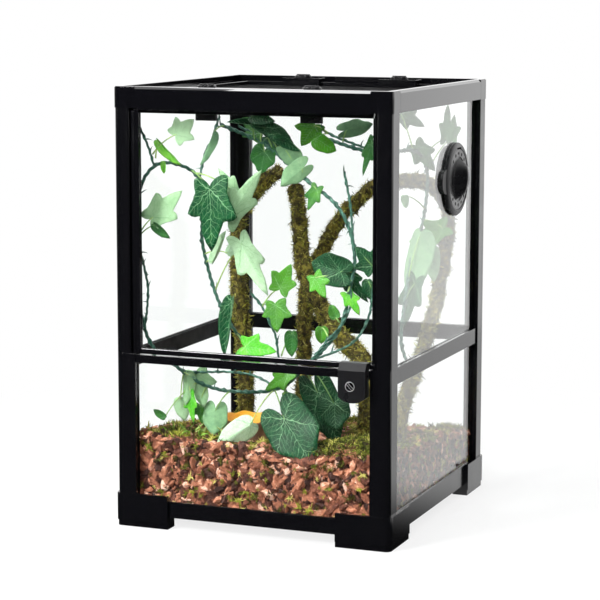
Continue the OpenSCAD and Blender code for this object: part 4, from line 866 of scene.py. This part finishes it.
# %% Ivy: the leaves, one row each
leaf_rows = [
    ((-123, -122, 386), (-96, -121, 407), (-78, -118, 423), 32, "star", 0.70, -8, "under"),
    ((-120, -121, 382), (-116, -122, 399), (-94, -116, 374), 11, "narrow", 0.95, 35),
    ((-113, -118, 377), (-112, -120, 378), (-111, -120, 366), 6, "narrow", 0.95, 0),
    ((-64, -70, 413), (-64, -102, 407), (-75, -104, 374), 11, "narrow", 0.20, 40, "under"),
    ((-136, -134, 299), (-119, -130, 322), (-89, -124, 350), 37, "star", 0.55, -12, "under"),
    ((-136, -134, 299), (-117, -131, 314), (-101, -128, 300), 10, "narrow", 0.30, 20),
    ((-90, -100, 369), (-63, -112, 350), (-59, -118, 287), 56, "star", 0.14, 5),
    ((-87, -97, 366), (-47, -96, 322), (-14, -92, 373), 35, "star", 0.62, 15, "under"),
    ((-87, -97, 366), (-44, -94, 347), (-62, -92, 371), 21, "star", 0.55, -20, "under"),
    ((-23, -72, 398), (-25, -66, 407), (-49, -60, 422), 35, "star", 0.36, 10),
    ((-20, -72, 396), (-19, -64, 402), (10, -58, 389), 25, "star", 0.08, -20),
    ((-20, -72, 396), (-18, -74, 388), (-21, -78, 366), 27, "broad", 0.30, 12),
    ((47, -59, 408), (34, -66, 416), (21, -70, 395), 35, "star", 0.50, -8),
    ((47, -59, 408), (36, -66, 403), (57, -64, 390), 19, "narrow", 0.62, 22),
    ((62, -57, 399), (68, -62, 412), (96, -60, 420), 20, "broad", 0.22, 25, "under"),
    ((93, -57, 390), (97, -66, 400), (87, -72, 367), 18, "star", 0.30, 40),
    ((20, -75, 368), (8, -80, 391), (25, -76, 373), 22, "broad", 0.35, 5, "under"),
    ((26, -76, 363), (27, -82, 373), (4, -84, 354), 23, "broad", 0.40, -10, "under"),
    ((35, -77, 357), (42, -80, 352), (34, -84, 330), 19, "star", 0.42, 20),
    ((-18, -82, 227), (7, -92, 250), (20, -94, 276), 31, "star", 0.55, -8),
    ((-13, -80, 217), (3, -96, 232), (8, -104, 205), 34, "star", 0.50, 6),
    ((-73, -78, 240), (-37, -90, 293), (-7, -92, 240), 34, "star", 0.72, -10, "under"),
    ((-81, -82, 271), (-69, -92, 274), (-52, -96, 307), 10, "narrow", 0.75, 25, "under"),
    ((-82, -83, 280), (-53, -90, 283), (-44, -90, 300), 12, "narrow", 0.80, -25, "under"),
    ((85, -87, 269), (73, -92, 270), (41, -94, 278), 34, "broad", 0.06, -12),
    ((84, -89, 261), (47, -96, 263), (61, -102, 243), 25, "star", 0.62, 10),
    ((85, -87, 269), (75, -82, 270), (96, -78, 236), 29, "star", 0.12, 30),
    ((83, -89, 257), (81, -92, 247), (96, -96, 228), 20, "star", 0.85, -20),
    ((85, -84, 291), (103, -80, 276), (87, -86, 296), 35, "star", 0.10, 20),
    ((103, -78, 251), (98, -78, 260), (100, -76, 239), 14, "narrow", 0.09, 30),
    ((73, -94, 218), (69, -94, 223), (63, -94, 236), 12, "narrow", 0.44, 0),
    ((-59, -77, 211), (-51, -84, 231), (-55, -92, 174), 17, "narrow", 0.12, 35),
    ((-49, -76, 196), (-32, -92, 186), (4, -100, 185), 35, "star", 0.80, -10),
    ((0, -72, 175), (12, -72, 200), (12, -74, 175), 16, "narrow", 0.34, 20),
    ((61, -96, 203), (44, -70, 207), (44, -70, 190), 15, "narrow", 0.54, 0),
    ((22, -103, 155), (21, -106, 163), (-4, -112, 144), 23, "star", 0.56, 14),
    ((21, -103, 153), (15, -104, 139), (28, -100, 138), 10, "narrow", 0.56, 0),
    ((6, -106, 146), (26, -128, 120), (62, -146, 81), 57, "broad", 0.06, 6),
    ((35, -99, 168), (46, -86, 142), (72, -90, 92), 40, "broad", 0.03, -12),
    ((40, -98, 173), (64, -86, 132), (69, -92, 104), 37, "broad", 0.00, 14),
    ((-43, -109, 141), (-58, -112, 120), (-58, -118, 95), 27, "broad", 0.36, 12, "under"),
    ((6, -106, 146), (-15, -120, 110), (-48, -134, 86), 27, "narrow", 0.80, -6, "under"),
    ((-85, -118, 156), (-79, -114, 157), (-70, -110, 123), 38, "star", 0.50, 16, "under"),
    ((-90, -120, 160), (-85, -122, 158), (-87, -122, 125), 15, "narrow", 0.54, 20, "under"),
    ((-90, -120, 160), (-95, -118, 130), (-91, -116, 107), 17, "narrow", 0.66, 0, "under"),
    ((-85, -118, 156), (-83, -120, 136), (-78, -122, 107), 17, "star", 0.85, 24),
    ((-67, -113, 146), (-76, -112, 124), (-72, -114, 105), 19, "star", 0.40, -14),
    ((-76, -115, 150), (-109, -128, 112), (-121, -130, 120), 8, "narrow", 0.36, 0),
    ((109, 20, 386), (93, 26, 424), (117, 34, 411), 25, "star", 0.36, 0),
    ((106, 59, 375), (129, 70, 397), (129, 76, 434), 18, "star", 0.36, 0),
    ((104, 81, 357), (128, 92, 396), (130, 96, 421), 18, "star", 0.38, 0),
    ((106, 59, 375), (103, 50, 388), (122, 56, 362), 28, "star", 0.36, 0),
    ((104, 71, 308), (126, 72, 300), (91, 60, 284), 30, "star", 0.58, 0),
    ((105, 47, 291), (118, 60, 277), (118, 66, 242), 19, "narrow", 0.50, 0, "under"),
    ((108, 10, 251), (117, 20, 296), (106, 10, 231), 32, "narrow", 0.38, 30, "under"),
    ((108, 1, 230), (114, 14, 246), (104, 4, 197), 28, "star", 0.17, 0),
    ((104, 77, 319), (93, 40, 336), (95, 40, 323), 9, "narrow", 0.46, 0, "under"),
    ((106, -41, 388), (96, -44, 404), (105, -40, 419), 19, "star", 0.36, 0),
    ((-10, -72, 392), (-22, -72, 414), (-61, -74, 419), 8, "narrow", 0.10, 25),
    ((0, -73, 384), (-19, -74, 413), (16, -78, 398), 18, "broad", 0.04, -15),
    ((5, -73, 381), (-6, -78, 407), (23, -80, 390), 11, "narrow", 0.10, 20),
    ((-30, -72, 399), (-32, -74, 424), (-5, -76, 420), 14, "narrow", 0.05, 10),
]
print("ivy leaves:", len(leaf_rows))

# %% [markdown]
# The outline of a leaf is a distance from the stalk for each angle from the midrib. A star has five lobes
# with valleys between, and the broad and narrow ones are smoother. The blade is a fan of rings inside
# that outline. It is folded along the midrib, sags towards the tip and has its lobes curled, so that no
# leaf is flat. Two skins a third of a millimetre apart, joined by a rim, make the upper face and the
# underside two real surfaces.

# %% Ivy: leaf shapes
outlines = {
    "star": [(0, 1.0), (14, 0.74), (27, 0.50), (40, 0.62), (52, 0.68), (66, 0.44), (84, 0.34), (104, 0.38),
             (122, 0.42), (140, 0.26), (158, 0.14), (180, 0.06)],
    "broad": [(0, 1.0), (14, 0.90), (28, 0.80), (44, 0.80), (58, 0.78), (74, 0.66), (92, 0.62), (112, 0.60),
              (132, 0.55), (150, 0.42), (166, 0.22), (180, 0.07)],
    "narrow": [(0, 1.0), (12, 0.82), (26, 0.60), (42, 0.44), (60, 0.34), (84, 0.27), (110, 0.22), (140, 0.16),
               (165, 0.09), (180, 0.06)],
}
leaf_spokes, leaf_rings, leaf_thick = 48, 6, 0.00034


def leaf_points(form, draw):
    """The blade's points as rings round the stalk's end, with the tip at 0,1."""
    angles, reaches = zip(*outlines[form])
    stretch = draw.uniform(0.9, 1.1, 2)
    rows = []
    for ring in range(1, leaf_rings + 1):
        share = (ring / leaf_rings) ** 0.85
        row = []
        for turn in (360 * spoke / leaf_spokes - 180 for spoke in range(leaf_spokes)):
            reach = np.interp(abs(turn), angles, reaches) * (stretch[int(turn > 0)] if abs(turn) > 20 else 1)
            turn = math.radians(turn)
            row.append((math.sin(turn) * reach * share, math.cos(turn) * reach * share))
        rows.append(row)
    return rows


def add_leaf(build, uv, tone, row, seed):
    base, start, tip, width, form, shade, roll, *facing = row
    draw = np.random.default_rng(seed)
    start, tip = in_tank(start), in_tank(tip)
    along, length = (tip - start).normalized(), (tip - start).length
    face = Matrix.Rotation(math.radians(roll), 3, along) @ along.cross(sight).normalized().cross(along)
    if "under" in facing:
        face = -face
    across = along.cross(face)
    shape = leaf_points(form, draw)
    fold, sag = draw.uniform(0.08, 0.26), draw.uniform(-0.05, 0.14)
    curl, wave = draw.uniform(-0.14, 0.16), draw.uniform(0, 6)
    if form == "narrow":
        fold = 0.8
    side_scale = width * 0.001 / 2 / max(abs(u) for u, v in shape[-1])

    def place(u, v, lift):
        bend = fold * abs(u) * length * 0.6 - sag * max(v, 0) ** 2 * length + curl * u * u * length
        bend += 0.018 * length * math.sin(7 * v + wave) * abs(u) * 3
        return start + across * (u * side_scale) + along * (v * length) + face * (bend + lift)

    flat = [(0.0, 0.0)] + [point for shape_row in shape for point in shape_row]
    rims = []
    for skin_number, lift in enumerate((leaf_thick / 2, -leaf_thick / 2)):
        rings = [[build.verts.new(place(u, v, lift)) for u, v in shape_row] for shape_row in shape]
        middle = build.verts.new(place(0, 0, lift))
        lookup = dict(zip([middle] + [vert for ring in rings for vert in ring], flat))
        for vert in lookup:
            vert[tone] = shade
        for k, n in ((k, (k + 1) % leaf_spokes) for k in range(leaf_spokes)):
            made = [(middle, rings[0][k], rings[0][n])]
            made += [(low[k], high[k], high[n], low[n]) for low, high in zip(rings, rings[1:])]
            for corners in made:
                patch = build.faces.new(corners if skin_number else corners[::-1])
                patch.smooth, patch.material_index = True, skin_number
                for loop in patch.loops:
                    loop[uv].uv = lookup[loop.vert]
        rims.append(rings[-1])
    top, bottom = rims
    for k, n in ((k, (k + 1) % leaf_spokes) for k in range(leaf_spokes)):
        build.faces.new((top[k], top[n], bottom[n], bottom[k])).material_index = 1


def add_stalk(build, tone, base, start, shade, thick=0.0006):
    """A bowed stalk from the stem to the leaf's underside: a five-sided tube that thins a little."""
    base, start = in_tank(base), in_tank(start)
    middle = (base + start) / 2 + Vector((0, -0.002, 0.18 * (start - base).length))
    shares = [i / 8 for i in range(9)]
    line = [(1 - t) ** 2 * base + 2 * t * (1 - t) * middle + t * t * start for t in shares]
    radii = [thick * (1.5 - 0.6 * t) for t in shares]
    for vert in tube(build, line, radii, Vector((0.3, 0.9, 0.1)), 5, slot=2):
        vert[tone] = 0.4 + 0.5 * shade


leaf_build = bmesh.new()
leaf_uv = leaf_build.loops.layers.uv.new("leaf")
leaf_tone = leaf_build.verts.layers.float.new("tone")
for number, row in enumerate(leaf_rows):
    add_leaf(leaf_build, leaf_uv, leaf_tone, row, 100 + number)
    add_stalk(leaf_build, leaf_tone, row[0], row[1], row[5])
bmesh.ops.recalc_face_normals(leaf_build, faces=leaf_build.faces)
print("leaf faces:", len(leaf_build.faces))

# %% [markdown]
# Ivy leaves carry pale veins: one down each lobe from the stalk, finer ones off them like a fishbone, and
# a net between. The pattern follows the leaf, so it is drawn in the leaf's own UV map, where the stalk
# ends at 0,0 and the tip is at 0,1.

# %% Shader group: leaf veins
veins, given = group("Shader", "leaf_veins", {"Veins": "Float", "Height": "Float"},
                     Width="Float", Net="Float")
plain = veins("UVMap", uv_map="leaf")
stray = veins("TexNoise", {"Vector": plain, "Scale": 5.0, "Detail": 2.0}).outputs["Color"]
stray = veins.vector("MULTIPLY", veins.vector("SUBTRACT", stray, (0.5, 0.5, 0.5)), (0.16, 0.16, 0.0))
flat = veins.vector("ADD", plain, stray)
parts = veins("SeparateXYZ", {0: flat}).outputs
angle = veins.arctan2(veins.absolute(parts["X"]), parts["Y"])
reach = veins.vector("LENGTH", flat).outputs["Value"]
cells = veins("TexVoronoi", {"Vector": flat, "Scale": 13.0}, feature="DISTANCE_TO_EDGE",
              voronoi_dimensions="2D")
mask = veins.remap(cells.outputs["Distance"], 0.07, 0.015, 0.0, given["Net"])
for degrees in (0, 52, 120):
    off = veins.subtract(angle, math.radians(degrees))
    aside = veins.absolute(veins.multiply(reach, veins.sine(off)))
    ahead = veins.multiply(reach, veins.cosine(off))
    forward = veins.greater_than(ahead, 0.0)
    thin = veins.multiply(given["Width"], veins.subtract(1.15, reach))
    line = veins.multiply(veins.remap(veins.subtract(aside, thin), 0.006, -0.003), forward)
    comb = veins.fract(veins.multiply(veins.subtract(ahead, veins.multiply(aside, 0.9)), 8.0))
    rib = veins.remap(veins.absolute(veins.subtract(comb, 0.5)), 0.045, 0.012)
    near = veins.remap(aside, 0.36, 0.02)
    rib = veins.multiply(veins.multiply(rib, near), veins.multiply(forward, 0.8))
    mask = veins.maximum(veins.maximum(mask, line), rib)
veins("NodeGroupOutput", {"Veins": mask, "Height": mask})
print("group:", veins.tree.name, len(veins.tree.nodes), "nodes")


# %% Leaf finishes: upper face, underside, stalk and stem
def leaf_finish(name, stops, vein_color, strength, roughness, width, net, bump):
    material, graph, shader = principled(name, {"Roughness": roughness, "Specular IOR Level": 0.2})
    color, _ = speckled(graph, stops, 150.0, 0.5)
    pattern = graph("Group", {"Width": width, "Net": net}, node_tree=veins.tree).outputs
    share = graph.multiply(pattern["Veins"], strength)
    color = graph("Mix", {0: share, 6: color, 7: (*vein_color, 1)}, data_type="RGBA").outputs[2]
    relief = graph("Bump", {"Height": pattern["Height"], "Strength": bump, "Distance": 0.0004})
    graph.fill(shader, {"Base Color": color, "Normal": relief})
    return material


leaf_upper = leaf_finish("leaf_upper", [
    (0.0, (0.003, 0.030, 0.011)), (0.15, (0.004, 0.072, 0.022)), (0.35, (0.022, 0.13, 0.018)),
    (0.55, (0.070, 0.25, 0.014)), (0.8, (0.060, 0.40, 0.008)), (1.0, (0.24, 0.60, 0.07))],
    (0.36, 0.62, 0.34), 0.8, 0.45, 0.003, 0.15, 0.6)
leaf_under = leaf_finish("leaf_under", [
    (0.0, (0.055, 0.125, 0.075)), (0.3, (0.17, 0.33, 0.17)), (0.5, (0.31, 0.51, 0.27)),
    (0.75, (0.47, 0.68, 0.42)), (1.0, (0.68, 0.86, 0.70))], (0.15, 0.33, 0.15), 0.7, 0.55, 0.004, 0.3, 0.5)
stalk_green = grown_finish("stalk_green", [
    (0.0, (0.05, 0.12, 0.05)), (0.5, (0.24, 0.42, 0.12)), (1.0, (0.56, 0.72, 0.24))], 120, 0.5, 0.3, 0.5)
stem_green = grown_finish("stem_green", [
    (0.2, (0.016, 0.055, 0.038)), (0.5, (0.042, 0.135, 0.095)), (0.8, (0.13, 0.27, 0.20))],
    160, 1.3, 0.5, 0.42, toned=False)
settle(keep("ivy_leaves", leaf_build, leaf_upper, leaf_under, stalk_green), "leaves", "ivy_garland")

# %% [markdown]
# A stem is a soft plastic cord, moulded as if three thin shoots were wound together, with a swollen node
# every two centimetres. The tree sweeps a three-lobed ring that turns as it goes, and sets short side
# spikes where leaves were pulled off.

# %% Tree: wound stem
wound, given = growth("wound_stem", Twist="Float", Spikes="Int", Spike="Object", Finish="Material")
line, even, thick = follow(wound, given, 0.0018)
along = wound("SplineParameter").outputs["Length"]
off_knot = wound.absolute(wound.subtract(wound.fract(wound.multiply(along, 42.0)), 0.5))
knot = wound.remap(off_knot, 0.12, 0.0, 1.0, 1.45, "SMOOTHSTEP")
twisted = wound("SetCurveTilt", {0: even, "Tilt": wound.multiply(along, given["Twist"])})
place = wound("InputPosition")
corner = wound("SeparateXYZ", {0: place}).outputs
lobe = wound.cosine(wound.multiply(wound.arctan2(corner["Y"], corner["X"]), 3.0))
reach = wound.add(wound.multiply(lobe, 0.27), 0.78)
lobed = wound("VectorMath", {0: place, "Scale": reach}, operation="SCALE")
ring = wound("CurvePrimitiveCircle", {"Resolution": 15, "Radius": 1.0})
ring = wound("SetPosition", {0: ring, "Position": lobed})
swept = wound("CurveToMesh", {"Curve": twisted, "Profile Curve": ring, "Scale": wound.multiply(thick, knot),
                              "Fill Caps": True})
places = wound("CurveToPoints", {"Curve": line, "Count": given["Spikes"]}, mode="COUNT")
thorn = wound("ObjectInfo", {"Object": given["Spike"], "As Instance": True}).outputs["Geometry"]
swing = wound("RandomValue", {0: (-0.5, -1.4, 0.0), 1: (0.9, 1.4, 6.28), "Seed": 2}, data_type="FLOAT_VECTOR")
thorns = wound("InstanceOnPoints", {
    "Points": places, "Instance": thorn, "Rotation": swing, "Scale": wound.random(0.004, 0.011, 3)})
both = wound("JoinGeometry", {0: wound("SetShadeSmooth", {0: swept})})
coated(wound, given, wound.fill(both, {0: thorns}))

# %% Ivy stems
stem_radius = 0.0021
stem_lines = [(main_stem, 1.0), (side_stem, 1.0)] + [(points, 0.68) for points in strands]
for number, (points, share) in enumerate(stem_lines):
    line = path_mesh(route(points, 0.1), [stem_radius * share, stem_radius * share * 0.9])
    grow(f"ivy_stem_{number}", line, wound, "leaves", Twist=260.0, Spikes=max(2, len(points) * 3 // 2),
         Spike=fibres.objects[1], Finish=stem_green)

# %% [markdown]
# ## Lid screen
# The lid carries a fine woven steel screen. Each wire is a thin square bar, and the two layers cross
# just above each other. Geometry Nodes repeat one wire along a line, at a pitch given as an input.

# %% Tree: one layer of wires
wires, given = growth("wire_layer", Length="Float", Across="Float", Thick="Float", Count="Int",
                      Finish="Material")
bar = wires("MeshCube", {0: wires("CombineXYZ", {0: given["Length"], 1: given["Thick"], 2: given["Thick"]})})
start, end = (wires("CombineXYZ", {"Y": wires.multiply(given["Across"], share)}) for share in (-0.5, 0.5))
row_of_points = wires("MeshLine", {"Count": given["Count"], "Start Location": start, "Offset": end},
                      mode="END_POINTS")
coated(wires, given, wires("InstanceOnPoints", {"Points": row_of_points, "Instance": bar}))

# %% Lid screen from two layers
screen_low, screen_high = (Vector(p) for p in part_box("lid_screen"))
screen_middle, screen_size = (screen_low + screen_high) / 2, screen_high - screen_low
pitch, wire, layer_gap = 0.0022, 0.0004, 0.9
screen_build = bmesh.new()
for number, (long, wide) in enumerate(((screen_size.x, screen_size.y), (screen_size.y, screen_size.x))):
    layer = grow(f"layer_{number}", base_mesh([(0, 0, 0)]), wires, Length=long, Across=wide - wire,
                 Count=round(wide / pitch), Thick=wire, Finish=mesh_black)
    turn = Matrix.Rotation(math.pi / 2 * number, 4, "Z")
    place = screen_middle + Vector((0, 0, wire * (number - 0.5) * layer_gap))
    layer.data.transform(Matrix.Translation(place) @ turn)
    screen_build.from_mesh(layer.data)
    bpy.data.objects.remove(layer)
settle(keep("screen_wires", screen_build, mesh_black), "screen", "lid_screen", body="lid")

# %% [markdown]
# The key cylinder is black. Thin raised beads of bright steel, one round its face and two along the keyway,
# are a painted highlight: they stand for the light caught on the rim and on the keyway's edges. They make
# one small metal piece that turns with the cylinder.

# %% Bead round the key cylinder
face_low, face_high = (Vector(p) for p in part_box("lock_cylinder"))
face_middle, ring_radius = (face_low + face_high) / 2, (face_high.x - face_low.x) / 2 * 0.9
keyway_half, keyway_gap, ring_bead, slot_bead = 0.003, 0.0008, 0.00027, 0.00016


def on_face(u, v):
    return Vector((face_middle.x + u, face_low.y + 0.0001, face_middle.z + v))


bead_build = bmesh.new()
rim = [on_face(math.cos(a) * ring_radius, math.sin(a) * ring_radius) for a in turns(48)]
tube(bead_build, rim, [ring_bead] * len(rim), Vector((-1, 0, 0)), 8, closed=True)
for shift in (-keyway_gap, keyway_gap):
    slot_edge = [on_face(t * keyway_half - shift, -t * keyway_half - shift) for t in (-1, -0.5, 0, 0.5, 1)]
    tube(bead_build, slot_edge, [slot_bead] * len(slot_edge), Vector((1, 0, 0)), 8)
bmesh.ops.recalc_face_normals(bead_build, faces=bead_build.faces)
# Painted highlight: this bright steel stands for light caught on the cylinder's rim and keyway edges.
rim_highlight_steel = metal("rim_highlight_steel", (0.6, 0.6, 0.62), 0.6, 0.35, 0.5)
settle(keep("lock_bead", bead_build, rim_highlight_steel), "steel", body="lock")
